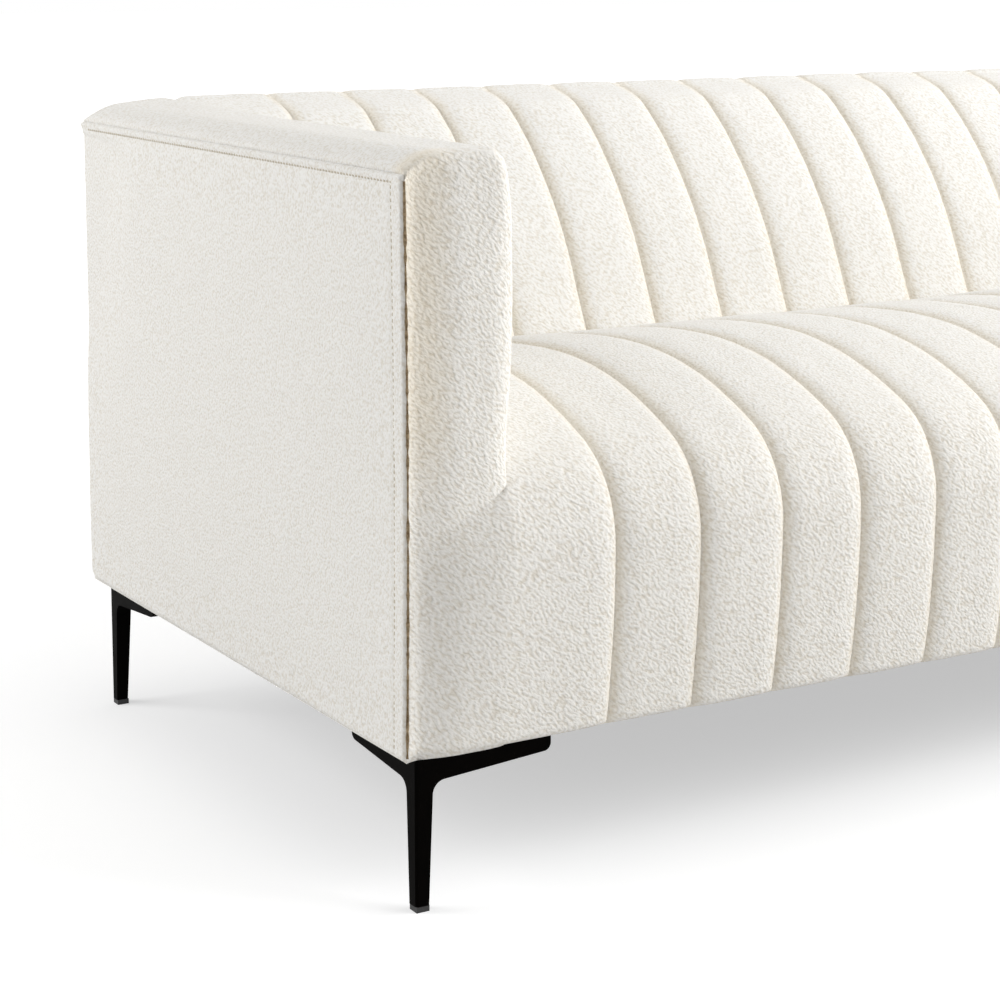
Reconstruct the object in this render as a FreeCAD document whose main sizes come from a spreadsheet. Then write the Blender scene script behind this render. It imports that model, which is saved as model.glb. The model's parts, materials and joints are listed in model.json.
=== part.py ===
import FreeCAD, Part
import math
import os

import Sketcher

# A three-seat tuxedo sofa with a channelled bench seat and back, in millimetres.
# The origin is on the floor under the middle of the sofa, +X runs to the right arm as
# seen by someone facing the sofa, the front faces -Y and +Z is up.

doc = FreeCAD.newDocument("tuxedo_sofa")
sheet = doc.addObject("Spreadsheet::Sheet", "dims")

# Driving dimensions: name, value, meaning
SIZES = (
    ("middle_channels", 16, "equal channels between the two end channels"),
    ("channel_pitch", 101.6, "seam to seam across the seat and the back"),
    ("end_channel_width", 118, "first channel beside each arm"),
    ("channel_crown", 8, "rise of a channel above its seams"),
    ("seam_thickness", 5, "quilted cover at a seam"),
    ("cover_thickness", 3, "plain upholstery fabric"),
    ("wadding_thickness", 7, "wadding under the outer side"),
    ("board_thickness", 3, "fibreboard panels"),
    ("leg_height", 152, "floor to the underside of the body"),
    ("side_seam_rise", 558, "underside to the seam under the arm top"),
    ("arm_top_rise", 579, "underside to the arm top"),
    ("back_top_rise", 584, "underside to the seams on the back top"),
    ("seat_apex_rise", 330, "underside to the highest seat seam point"),
    ("seat_apex_setback", 254, "front plane to the highest seat seam point"),
    ("seat_depth", 496.5, "front plane to the rear end of the seat"),
    ("seat_bulge", 12, "seat front seams ahead of the front plane"),
    ("seat_nose_radius", 105, "rounded front edge of the seat"),
    ("seat_top_radius", 460, "front half of the seat crown"),
    ("seat_rear_radius", 900, "rear half of the seat crown"),
    ("seat_face_radius", 1170, "slow curve down the seat front"),
    ("back_foot_rise", 278, "underside to where the back starts to lean"),
    ("back_tuck_rise", 228, "underside to the hidden lower edge of the back"),
    ("back_foot_radius", 60, "bend at the foot of the back"),
    ("back_flat_length", 74, "straight stretch above the foot bend"),
    ("back_foot_lean", 66, "degrees from level, lower back"),
    ("back_top_lean", 38, "degrees from level, where the top rounds over"),
    ("back_top_radius", 118, "rounded front edge of the back top"),
    ("soft_gap", 3, "air between soft parts that only meet"),
    ("arm_foam_thickness", 26, "foam on the inner face of an arm"),
    ("arm_top_foam_thickness", 15, "foam on the arm top rail"),
    ("arm_front_foam_thickness", 12, "foam on the arm front post"),
    ("arm_edge_width", 45, "outer rounding of the arm top, across"),
    ("arm_edge_radius", 63, "outer rounding of the arm top, radius"),
    ("arm_inner_radius", 16, "inner top edge of the arm"),
    ("arm_bulge", 7, "crown of the inner arm"),
    ("arm_bulge_foot_rise", 342, "underside to the foot of the inner arm crown"),
    ("arm_front_fillet", 9, "rounded front edges of the arm"),
    ("arm_tuck_rise", 198, "underside to the lower edge of the inner arm"),
    ("corner_crease_rise", 208, "underside to the crease at the outer corner"),
    ("corner_bulge", 2, "front corner pad at its outer end"),
    ("post_width", 60, "arm posts, across the sofa"),
    ("rail_thickness", 30, "all rails and the depth of the posts"),
    ("rail_height", 180, "seat rails"),
    ("top_rail_height", 60, "back top rail"),
    ("tack_rail_height", 40, "arm tack rail"),
    ("rib_thickness", 18, "plywood back ribs"),
    ("rib_count", 5, "back ribs"),
    ("rib_foot_height", 80, "back rib where it meets the seat rear rail"),
    ("rib_top_width", 12, "back rib at the top rail"),
    ("rib_end_gap", 20, "end rib to the arm"),
    ("stringer_count", 3, "seat stringers"),
    ("stringer_spacing", 480, "seat stringers, centre to centre"),
    ("stringer_height", 60, "seat stringers"),
    ("block_length", 120, "corner blocks, across the sofa"),
    ("block_depth", 60, "corner blocks, front to back"),
    ("block_height", 50, "corner blocks"),
    ("dowel_diameter", 10, "frame dowels"),
    ("dowel_length", 50, "frame dowels"),
    ("dowel_spacing", 30, "between the two dowels of a joint"),
    ("rail_screw_diameter", 5, "screws through the arm top rails"),
    ("rail_screw_length", 70, "screws through the arm top rails"),
    ("spring_count", 14, "zigzag springs"),
    ("spring_spacing", 127, "zigzag springs, centre to centre"),
    ("spring_wire", 3.8, "zigzag spring wire"),
    ("spring_width", 46, "zigzag spring, across its bends"),
    ("spring_bars", 16, "cross bars of a zigzag spring"),
    ("clip_thickness", 1.5, "spring clip sheet"),
    ("clip_width", 20, "spring clip, along the rail"),
    ("clip_gap", 0.2, "clip to spring wire"),
    ("tie_wire", 2.4, "wires that tie the springs"),
    ("pad_thickness", 4, "felt pad on the springs"),
    ("pad_margin", 26, "felt pad to the spring clips"),
    ("webbing_count", 5, "back webbing bands"),
    ("webbing_width", 50, "back webbing bands"),
    ("webbing_spacing", 66, "back webbing, centre to centre"),
    ("webbing_thickness", 1.5, "back webbing bands"),
    ("hessian_thickness", 1, "sheet behind the back foam"),
    ("dust_cover_thickness", 1.5, "cloth under the sofa"),
    ("leg_side_inset", 15, "leg to the side of the body"),
    ("leg_front_inset", 6, "front leg to the arm front"),
    ("leg_rear_inset", 22, "rear leg to the back of the body"),
    ("leg_top_size", 20, "leg where it meets its arms"),
    ("leg_foot_size", 14, "leg at the glide"),
    ("leg_arm_length", 151, "leg bracket along the front or back"),
    ("leg_side_arm_length", 132, "leg bracket along the side"),
    ("leg_arm_width", 17, "leg bracket rib"),
    ("leg_arm_root", 23, "depth of the bracket at the leg"),
    ("leg_arm_tip", 15, "depth of the bracket at its end"),
    ("leg_arm_nose", 8, "rounded end of the bracket"),
    ("leg_web_radius", 14, "fillet between leg and bracket"),
    ("leg_edge_chamfer", 2.5, "outer edge of the leg"),
    ("flange_width", 34, "screw flange of the bracket"),
    ("flange_thickness", 4, "screw flange of the bracket"),
    ("glide_height", 6, "plastic glide under a leg"),
    ("glide_size", 12.5, "plastic glide under a leg"),
    ("glide_stem_diameter", 5, "stem of a glide"),
    ("glide_stem_length", 14, "stem of a glide"),
    ("leg_screw_diameter", 4.5, "leg screws"),
    ("leg_screw_length", 34, "leg screws, from the flange"),
    ("leg_screw_head", 9, "leg screw heads"),
    ("leg_screw_head_height", 2.4, "leg screw heads"),
    ("leg_screw_setback", 23, "leg screws to the outer face of the leg"),
    ("leg_screw_near", 45, "leg corner to the first screw"),
    ("leg_screw_far", 128, "leg corner to the second screw"),
    ("leg_side_screw_near", 55, "leg corner to the first side screw"),
    ("leg_side_screw_far", 115, "leg corner to the second side screw"),
    ("leg_hole_clearance", 0.5, "flange hole over screw diameter"),
)
for row, (alias, value, meaning) in enumerate(SIZES, start=1):
    sheet.set(f"A{row}", alias)
    sheet.set(f"B{row}", str(value))
    sheet.set(f"C{row}", meaning)
    sheet.setAlias(f"B{row}", alias)
doc.recompute()

# Distances worked out from the driving dimensions, as expressions of the sheet.
# Across: the arm is a stack of layers, and the seat fills what is between the arms.
# A tool that opens a side of a solid runs past it by BEYOND.
PADDED = "(dims.cover_thickness + dims.wadding_thickness)"
BEYOND = "dims.post_width"
POST_OUTER = f"({PADDED} + dims.board_thickness)"
POST_INNER = f"({POST_OUTER} + dims.post_width)"
ARM_FOAM_START = f"({POST_INNER} + dims.board_thickness)"
ARM_COVER_START = f"({ARM_FOAM_START} + dims.arm_foam_thickness)"
ARM_WIDTH = f"({ARM_COVER_START} + {PADDED})"
MIDDLE_HALF = "(dims.middle_channels * dims.channel_pitch / 2)"
SEAT_HALF = f"({MIDDLE_HALF} + dims.end_channel_width)"
HALF = f"({SEAT_HALF} + {ARM_WIDTH})"

# Up: the legs carry the body, and the frame stands on the dust cover.
UNDER = "dims.leg_height"
FRAME_FOOT = f"({UNDER} + dims.dust_cover_thickness)"
RAIL_TOP = f"({FRAME_FOOT} + dims.rail_height)"
SEAM_TOP = f"({UNDER} + dims.side_seam_rise)"
ARM_TOP = f"({UNDER} + dims.arm_top_rise)"
ARM_FOAM_TOP = f"({ARM_TOP} - {PADDED})"
FRAME_TOP = f"({ARM_FOAM_TOP} - dims.arm_top_foam_thickness)"
POST_TOP = f"({FRAME_TOP} - dims.rail_thickness)"
BACK_TOP = f"({UNDER} + dims.back_top_rise)"
BACK_TUCK = f"({UNDER} + dims.back_tuck_rise)"
ARM_TUCK = f"({UNDER} + dims.arm_tuck_rise)"
SPRING_LEVEL = f"({RAIL_TOP} + dims.clip_thickness + dims.clip_gap + dims.spring_wire / 2)"
PAD_LEVEL = f"({SPRING_LEVEL} + dims.spring_wire / 2)"
SEAT_FOAM_LEVEL = f"({PAD_LEVEL} + dims.pad_thickness)"

# The back leans in steps from its foot to the top: a bend, a straight stretch, a long
# curve, the rounded front of the top and the rounded rear edge down to the rear seam.
FOOT_SIN = "sin(dims.back_foot_lean)"
FOOT_COS = "cos(dims.back_foot_lean)"
TOP_SIN = "sin(dims.back_top_lean)"
TOP_COS = "cos(dims.back_top_lean)"
BACK_REAR_RADIUS = "(dims.back_top_rise - dims.side_seam_rise)"
BACK_FACE_RADIUS = (
    "((dims.back_top_rise - dims.back_foot_rise"
    f" - dims.back_foot_radius * {FOOT_COS} - dims.back_flat_length * {FOOT_SIN}"
    f" - dims.back_top_radius * (1 - {TOP_COS})) / ({TOP_COS} - {FOOT_COS}))"
)
BACK_RUN = (
    f"(dims.back_foot_radius * (1 - {FOOT_SIN}) + dims.back_flat_length * {FOOT_COS}"
    f" + {BACK_FACE_RADIUS} * ({FOOT_SIN} - {TOP_SIN})"
    f" + dims.back_top_radius * {TOP_SIN} + {BACK_REAR_RADIUS} + dims.channel_crown)"
)

# Front to back: the front plane holds the arm fronts, and the seat front bulges past it.
BACK_FOOT_SETBACK = "(dims.seat_depth + dims.soft_gap + dims.channel_crown)"
BODY_DEPTH = f"({BACK_FOOT_SETBACK} + {BACK_RUN})"
FRONT = f"((dims.seat_bulge + dims.channel_crown - {BODY_DEPTH}) / 2)"
REAR = f"({FRONT} + {BODY_DEPTH})"
FRONT_FRAME = f"({FRONT} + {PADDED} + dims.arm_front_foam_thickness)"
FRONT_RAIL_REAR = f"({FRONT_FRAME} + dims.rail_thickness)"
REAR_FRAME = f"({REAR} - {PADDED})"
REAR_RAIL_FRONT = f"({REAR_FRAME} - dims.rail_thickness)"
BACK_FOOT = f"({FRONT} + {BACK_FOOT_SETBACK})"
SEAT_RAIL_REAR = f"({BACK_FOOT} + dims.rail_thickness)"

pieces = {}
TOUCHING = 0.1  # an edge this close to a plane lies on it


def number(expression):
    """The value of an expression of the sheet."""
    result = sheet.evalExpression(str(expression))
    return float(getattr(result, "Value", result))


def bind(obj, **expressions):
    """Tie properties of an object to expressions; double underscores stand for dots."""
    for name, expression in expressions.items():
        obj.setExpression(name.replace("__", "."), str(expression))


def keep(obj, label):
    """Name a finished sub-part and put it on the list of pieces."""
    obj.Label = label
    pieces[label] = obj
    return obj


def box(name, low, high):
    """A block between two corners given as expressions."""
    block = doc.addObject("Part::Box", name)
    length, width, height = (f"{end} - {start}" for start, end in zip(low, high))
    bind(block, Length=length, Width=width, Height=height)
    bind(block, Placement__Base__x=low[0], Placement__Base__y=low[1], Placement__Base__z=low[2])
    return block


def cut(name, base, tool):
    """The base without what the tool fills."""
    result = doc.addObject("Part::Cut", name)
    result.Base = base
    result.Tool = tool
    return result


def fuse(name, objects):
    """Several solids joined into one."""
    result = doc.addObject("Part::MultiFuse", name)
    result.Shapes = objects
    return result


def gather(name, objects):
    """Several separate solids as one object."""
    group = doc.addObject("Part::Compound", name)
    group.Links = objects
    return group


def mirrored(obj, label):
    """The right-hand copy of a left-hand piece."""
    copy = doc.addObject("Part::Mirroring", label)
    copy.Source = obj
    copy.Normal = (1, 0, 0)
    return keep(copy, label)


def new_body(label):
    """An empty body that becomes the sub-part of this name."""
    return keep(doc.addObject("PartDesign::Body", label), label)


def origin_feature(body, role):
    """A plane or an axis of the body's own origin."""
    return next(item for item in body.Origin.OriginFeatures if item.Role == role)


def new_sketch(body, name, role, offset="0"):
    """A sketch on one of the body's origin planes, moved along its normal."""
    sketch = body.newObject("Sketcher::SketchObject", name)
    sketch.AttachmentSupport = [(origin_feature(body, role), "")]
    sketch.MapMode = "FlatFace"
    bind(sketch, AttachmentOffset__Base__z=offset)
    return sketch


def pin(sketch, kind, geometry, end, expression):
    """Fix one coordinate of a line's or an arc's end by an expression."""
    index = sketch.addConstraint(Sketcher.Constraint(kind, -1, 1, geometry, end, number(expression)))
    sketch.setExpression(f"Constraints[{index}]", str(expression))


def curve(start, finish, radius, turn):
    """An arc between two points that bends left or right, and whether it runs backwards."""
    middle = (start + finish) / 2
    half = (finish - start) / 2
    rise = math.sqrt(max(radius ** 2 - half.Length ** 2, 0))
    side = FreeCAD.Vector(-half.y, half.x, 0).normalize() * rise
    centre = middle + side if turn == "left" else middle - side
    first, last = (start, finish) if turn == "left" else (finish, start)
    begin = math.atan2(first.y - centre.y, first.x - centre.x)
    end = math.atan2(last.y - centre.y, last.x - centre.x)
    circle = Part.Circle(centre, FreeCAD.Vector(0, 0, 1), radius)
    return Part.ArcOfCircle(circle, begin, end if end > begin else end + 2 * math.pi)


def outline(sketch, corners, closed=True):
    """Lines and arcs through corners. Each corner is (u, v) for a line that leads to it,
    or (u, v, radius, "left" or "right") for an arc that leads to it, as expressions."""
    spots = [FreeCAD.Vector(number(c[0]), number(c[1]), 0) for c in corners]
    first = 0 if closed else 1
    edges = []
    for index in range(first, len(corners)):
        corner, start, finish = corners[index], spots[index - 1], spots[index]
        if len(corner) == 2:
            geometry = sketch.addGeometry(Part.LineSegment(start, finish))
            edges.append((geometry, 1, 2, corner))
            continue
        radius = corner[2]
        geometry = sketch.addGeometry(curve(start, finish, number(radius), corner[3]))
        bend = sketch.addConstraint(Sketcher.Constraint("Radius", geometry, number(radius)))
        sketch.setExpression(f"Constraints[{bend}]", str(radius))
        ends = (1, 2) if corner[3] == "left" else (2, 1)
        edges.append((geometry, *ends, corner))
    for position, (geometry, _, finish_end, corner) in enumerate(edges):
        pin(sketch, "DistanceX", geometry, finish_end, corner[0])
        pin(sketch, "DistanceY", geometry, finish_end, corner[1])
        if position + 1 < len(edges):
            following = edges[position + 1]
            sketch.addConstraint(
                Sketcher.Constraint("Coincident", geometry, finish_end, following[0], following[1]))
    if closed:
        sketch.addConstraint(
            Sketcher.Constraint("Coincident", edges[-1][0], edges[-1][2], edges[0][0], edges[0][1]))
    else:
        pin(sketch, "DistanceX", edges[0][0], edges[0][1], corners[0][0])
        pin(sketch, "DistanceY", edges[0][0], edges[0][1], corners[0][1])
    return sketch


def pad(body, name, sketch, length, reverse=False):
    """Fill a sketch to a length along its normal, or against it."""
    feature = body.newObject("PartDesign::Pad", name)
    feature.Profile = sketch
    feature.Reversed = reverse
    bind(feature, Length=length)
    return feature


def pipe(body, name, profile, spine):
    """Carry a profile along a spine."""
    feature = body.newObject("PartDesign::AdditivePipe", name)
    feature.Profile = profile
    feature.Spine = spine
    return feature


def row_along_x(body, name, features, spacing, count):
    """Copies of features in a row along +X."""
    pattern = body.newObject("PartDesign::LinearPattern", name)
    pattern.Originals = features
    pattern.Direction = (origin_feature(body, "X_Axis"), [""])
    pattern.Mode = "Spacing"
    bind(pattern, Offset=spacing, Occurrences=count)
    body.Tip = pattern
    return pattern


def mirror_in_body(body, name, features):
    """The same features on the other side of the middle of the sofa."""
    mirror = body.newObject("PartDesign::Mirrored", name)
    mirror.Originals = features
    mirror.MirrorPlane = (origin_feature(body, "YZ_Plane"), [""])
    body.Tip = mirror
    return mirror


# Seat outline, in a front-to-back plane

NOSE_CENTRE = f"({FRONT} - dims.seat_bulge + dims.seat_nose_radius)"
APEX_Y = f"({FRONT} + dims.seat_apex_setback)"
APEX_Z = f"({UNDER} + dims.seat_apex_rise)"
CENTRE_GAP = "(dims.seat_top_radius - dims.seat_nose_radius)"
NOSE_TURN_SIN = f"(({APEX_Y} - {NOSE_CENTRE}) / {CENTRE_GAP})"
NOSE_TURN_COS = f"sqrt(1 - {NOSE_TURN_SIN} ^ 2)"
NOSE_LEVEL = f"({APEX_Z} - dims.seat_top_radius + {CENTRE_GAP} * {NOSE_TURN_COS})"
SEAT_END = f"({FRONT} + dims.seat_depth)"


def seat_points(lift):
    """Places on the seat outline, moved outward by lift from the seam line."""
    nose = f"(dims.seat_nose_radius + ({lift}))"
    face = f"(dims.seat_face_radius + ({lift}))"
    rear = f"(dims.seat_rear_radius + ({lift}))"
    top = f"(dims.seat_top_radius + ({lift}))"
    face_centre = f"({FRONT} - dims.seat_bulge + dims.seat_face_radius)"
    fall = f"sqrt({face} ^ 2 - ({NOSE_LEVEL} - {UNDER}) ^ 2)"
    drop = f"({rear} - sqrt({rear} ^ 2 - ({SEAT_END} - {APEX_Y}) ^ 2))"
    return {
        "foot": (f"({face_centre} - {fall})", UNDER),
        "face": (f"({NOSE_CENTRE} - {nose})", NOSE_LEVEL, face),
        "shoulder": (
            f"({APEX_Y} - {top} * {NOSE_TURN_SIN})",
            f"({APEX_Z} - dims.seat_top_radius + {top} * {NOSE_TURN_COS})", nose),
        "apex": (APEX_Y, f"({APEX_Z} + ({lift}))", top),
        "end": (SEAT_END, f"({APEX_Z} + ({lift}) - {drop})", rear),
    }


def channel_radius(width):
    """Radius of the crown of a channel of this width."""
    return f"(((({width}) / 2) ^ 2 + dims.channel_crown ^ 2) / (2 * dims.channel_crown))"


CHANNEL_RADIUS = channel_radius("dims.channel_pitch")
INNER_LIFT = "-dims.seam_thickness"


def seat_spines(body):
    """The seam line from the highest point down to the front edge, and back to the rear end."""
    line = seat_points("0")
    apex, shoulder, face = line["apex"], line["shoulder"], line["face"]
    front = new_sketch(body, "seat_front_spine", "YZ_Plane")
    outline(front, [
        apex[:2],
        (*shoulder[:2], apex[2], "left"),
        (*face[:2], shoulder[2], "left"),
        (*line["foot"], face[2], "left"),
    ], closed=False)
    rear = new_sketch(body, "seat_rear_spine", "YZ_Plane")
    outline(rear, [apex[:2], (*line["end"], "right")], closed=False)
    return front, rear


def make_seat_cover():
    """The quilted seat cover: sixteen channels and a wider one at each end, whose outer
    part is flat so that it runs on into the front corner pad."""
    body = new_body("seat_cover")
    spines = seat_spines(body)
    inner = f"{APEX_Z} - dims.seam_thickness"
    crown = f"{APEX_Z} + dims.channel_crown"
    middle = new_sketch(body, "seat_channel", "XZ_Plane", f"-({APEX_Y})")
    left, right = f"-{MIDDLE_HALF}", f"(dims.channel_pitch - {MIDDLE_HALF})"
    outline(middle, [
        (left, inner), (right, inner), (right, APEX_Z), (left, APEX_Z, CHANNEL_RADIUS, "left"),
    ])
    end = new_sketch(body, "seat_end_channel", "XZ_Plane", f"-({APEX_Y})")
    outer, top = f"-{SEAT_HALF}", f"(-{MIDDLE_HALF} - dims.channel_pitch / 2)"
    outline(end, [
        (outer, inner), (left, inner), (left, APEX_Z), (top, crown, CHANNEL_RADIUS, "left"),
        (outer, crown),
    ])
    channels = [pipe(body, f"seat_channel_{n}", middle, spine) for n, spine in enumerate(spines)]
    row_along_x(body, "seat_channels", channels, "dims.channel_pitch", "dims.middle_channels")
    ends = [pipe(body, f"seat_end_{n}", end, spine) for n, spine in enumerate(spines)]
    mirror_in_body(body, "seat_ends", ends)


def make_seat_foam():
    """The foam block of the seat and the foam in front of the front rail."""
    line = seat_points(INNER_LIFT)
    face, shoulder, apex, end = line["face"], line["shoulder"], line["apex"], line["end"]
    body = new_body("seat_foam")
    shape = new_sketch(body, "seat_foam_outline", "YZ_Plane", f"-{SEAT_HALF}")
    outline(shape, [
        face[:2],
        (*shoulder, "right"), (*apex, "right"), (*end, "right"),
        (SEAT_END, SEAT_FOAM_LEVEL), (FRONT_FRAME, SEAT_FOAM_LEVEL), (FRONT_FRAME, NOSE_LEVEL),
    ])
    pad(body, "seat_foam_pad", shape, f"2 * {SEAT_HALF}")
    body = new_body("front_rail_foam")
    shape = new_sketch(body, "front_rail_foam_outline", "YZ_Plane", f"-{SEAT_HALF}")
    outline(shape, [line["foot"], (*face, "right"), (FRONT_FRAME, NOSE_LEVEL), (FRONT_FRAME, UNDER)])
    pad(body, "front_rail_foam_pad", shape, f"2 * {SEAT_HALF}")


def make_front_corner_pads():
    """The end of the seat front, which fades out under the arm front to the outer corner."""
    line = seat_points("dims.channel_crown")
    body = new_body("front_corner_pad_left")
    nose = "(dims.seat_nose_radius + dims.channel_crown)"
    crease = f"({NOSE_LEVEL} + sqrt({nose} ^ 2 - (dims.seat_nose_radius - dims.seat_bulge) ^ 2))"
    inner = new_sketch(body, "corner_pad_inner", "YZ_Plane", f"-{SEAT_HALF}")
    outline(inner, [
        line["foot"], (*line["face"], "right"), (FRONT, crease, nose, "right"), (FRONT, UNDER),
    ])
    outer = new_sketch(body, "corner_pad_outer", "YZ_Plane", f"-{HALF}")
    bulge, middle = f"{FRONT} - dims.corner_bulge", f"{UNDER} + dims.corner_crease_rise / 2"
    outline(outer, [
        (bulge, UNDER), (bulge, middle, "dims.seat_face_radius", "right"),
        (FRONT, f"{UNDER} + dims.corner_crease_rise", "dims.seat_face_radius", "right"), (FRONT, UNDER),
    ])
    loft = body.newObject("PartDesign::AdditiveLoft", "corner_pad_loft")
    loft.Profile = inner
    loft.Sections = [outer]
    loft.Ruled = True
    mirrored(body, "front_corner_pad_right")


# Back outline, in a front-to-back plane

BEND_Y = f"({BACK_FOOT} + dims.back_foot_radius)"
BEND_Z = f"({UNDER} + dims.back_foot_rise)"
BEND_END_Y = f"({BEND_Y} - dims.back_foot_radius * {FOOT_SIN})"
BEND_END_Z = f"({BEND_Z} + dims.back_foot_radius * {FOOT_COS})"
FACE_Y = f"({BEND_END_Y} + dims.back_flat_length * {FOOT_COS} + {BACK_FACE_RADIUS} * {FOOT_SIN})"
FACE_Z = f"({BEND_END_Z} + dims.back_flat_length * {FOOT_SIN} - {BACK_FACE_RADIUS} * {FOOT_COS})"
CROWN_Y = f"({FACE_Y} - ({BACK_FACE_RADIUS} - dims.back_top_radius) * {TOP_SIN})"
CROWN_Z = f"({BACK_TOP} - dims.back_top_radius)"


def back_points(lift):
    """Places on the back outline from its foot to the rear seam, moved outward by lift."""
    bend = f"(dims.back_foot_radius + ({lift}))"
    face = f"({BACK_FACE_RADIUS} + ({lift}))"
    top = f"(dims.back_top_radius + ({lift}))"
    rear = f"({BACK_REAR_RADIUS} + ({lift}))"
    return {
        "tuck": (f"({BACK_FOOT} - ({lift}))", BACK_TUCK),
        "foot": (f"({BACK_FOOT} - ({lift}))", BEND_Z),
        "bend": (f"({BEND_Y} - {bend} * {FOOT_SIN})", f"({BEND_Z} + {bend} * {FOOT_COS})", bend),
        "flat": (f"({FACE_Y} - {face} * {FOOT_SIN})", f"({FACE_Z} + {face} * {FOOT_COS})"),
        "face": (f"({FACE_Y} - {face} * {TOP_SIN})", f"({FACE_Z} + {face} * {TOP_COS})", face),
        "top": (CROWN_Y, f"({CROWN_Z} + {top})", top),
        "rear": (f"({CROWN_Y} + {rear})", SEAM_TOP, rear),
    }


def back_front_edge(lift):
    """The corners of the back outline from its foot to the rear seam."""
    line = back_points(lift)
    return [
        line["tuck"], line["foot"], (*line["bend"], "right"), line["flat"],
        (*line["face"], "right"), (*line["top"], "right"), (*line["rear"], "right"),
    ]


# The ribs lean from the rear edge of the seat rear rail to the back top rail.
SLOPE_FOOT_Y, SLOPE_FOOT_Z = SEAT_RAIL_REAR, RAIL_TOP
SLOPE_TOP_Y, SLOPE_TOP_Z = f"({REAR_RAIL_FRONT} - dims.rib_top_width)", FRAME_TOP
SLOPE = f"(({SLOPE_TOP_Y} - {SLOPE_FOOT_Y}) / ({SLOPE_TOP_Z} - {SLOPE_FOOT_Z}))"


def on_slope(height, layers="0"):
    """A point in front of the ribs at this height, with layers of this thickness between."""
    ahead = f"({layers}) * sqrt(1 + {SLOPE} ^ 2)"
    return (f"({SLOPE_FOOT_Y} + ({height} - {SLOPE_FOOT_Z}) * {SLOPE} - {ahead})", height)


def make_back_cover():
    """The quilted back cover, from the hidden lower edge up and over to the rear seam."""
    body = new_body("back_cover")
    line = back_points("0")
    spine = new_sketch(body, "back_spine", "YZ_Plane")
    outline(spine, [
        line["rear"][:2],
        (*line["top"][:2], line["rear"][2], "left"),
        (*line["face"][:2], line["top"][2], "left"),
        (*line["flat"], line["face"][2], "left"),
        line["bend"][:2],
        (*line["foot"], line["bend"][2], "left"),
        line["tuck"],
    ], closed=False)
    seam = line["rear"][0]
    inner = f"{seam} - dims.seam_thickness"
    middle = new_sketch(body, "back_channel", "XY_Plane", SEAM_TOP)
    left, right = f"-{MIDDLE_HALF}", f"(dims.channel_pitch - {MIDDLE_HALF})"
    outline(middle, [(left, inner), (right, inner), (right, seam), (left, seam, CHANNEL_RADIUS, "left")])
    end = new_sketch(body, "back_end_channel", "XY_Plane", SEAM_TOP)
    outer = f"-{SEAT_HALF}"
    bow = channel_radius("dims.end_channel_width")
    outline(end, [(outer, inner), (left, inner), (left, seam), (outer, seam, bow, "left")])
    channel = pipe(body, "back_channel_pipe", middle, spine)
    row_along_x(body, "back_channels", [channel], "dims.channel_pitch", "dims.middle_channels")
    end_channel = pipe(body, "back_end_pipe", end, spine)
    mirror_in_body(body, "back_ends", [end_channel])


def make_back_foam():
    """The foam between the back cover and the sheet on the ribs, which wraps the top rail."""
    body = new_body("back_foam")
    shape = new_sketch(body, "back_foam_outline", "YZ_Plane", f"-{SEAT_HALF}")
    edge = back_front_edge(INNER_LIFT)
    layers = "dims.webbing_thickness + dims.hessian_thickness"
    outline(shape, edge + [
        (edge[-1][0], FRAME_TOP), on_slope(FRAME_TOP, layers), on_slope(BACK_TUCK, layers),
    ])
    pad(body, "back_foam_pad", shape, f"2 * {SEAT_HALF}")


def make_back_support():
    """Plywood ribs, the webbing bands across them and the sheet over the webbing."""
    span = f"({SEAT_HALF} - dims.rib_end_gap)"
    low = f"{RAIL_TOP} - dims.rib_foot_height"
    body = new_body("back_ribs")
    shape = new_sketch(body, "rib_outline", "YZ_Plane", f"-{span}")
    outline(shape, [
        (SEAT_RAIL_REAR, low), on_slope(RAIL_TOP), on_slope(FRAME_TOP),
        (REAR_RAIL_FRONT, FRAME_TOP), (REAR_RAIL_FRONT, low),
    ])
    rib = pad(body, "rib", shape, "dims.rib_thickness")
    spacing = f"(2 * {span} - dims.rib_thickness) / (dims.rib_count - 1)"
    row_along_x(body, "ribs", [rib], spacing, "dims.rib_count")

    body = new_body("back_webbing")
    shape = new_sketch(body, "webbing_outline", "YZ_Plane", f"-{span}")
    for index in range(int(number("dims.webbing_count"))):
        step = f"({index} - (dims.webbing_count - 1) / 2)"
        centre = f"(({RAIL_TOP} + {FRAME_TOP}) / 2 + {step} * dims.webbing_spacing)"
        bottom, top = f"({centre} - dims.webbing_width / 2)", f"({centre} + dims.webbing_width / 2)"
        layer = "dims.webbing_thickness"
        outline(shape, [on_slope(bottom), on_slope(bottom, layer), on_slope(top, layer), on_slope(top)])
    pad(body, "webbing", shape, f"2 * {span}")

    body = new_body("back_hessian")
    shape = new_sketch(body, "hessian_outline", "YZ_Plane", f"-{span}")
    inner, outer = "dims.webbing_thickness", "dims.webbing_thickness + dims.hessian_thickness"
    outline(shape, [
        on_slope(RAIL_TOP, inner), on_slope(RAIL_TOP, outer), on_slope(FRAME_TOP, outer),
        on_slope(FRAME_TOP, inner),
    ])
    pad(body, "hessian", shape, f"2 * {span}")


# Springs of the seat

SPRING_START = f"({FRONT_FRAME} + dims.rail_thickness / 2)"
SPRING_END = f"({BACK_FOOT} + dims.rail_thickness / 2)"
SPRING_STEP = f"(({SPRING_END} - {SPRING_START}) / (dims.spring_bars - 1))"
FIRST_SPRING = "(-(dims.spring_count - 1) * dims.spring_spacing / 2)"


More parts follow.
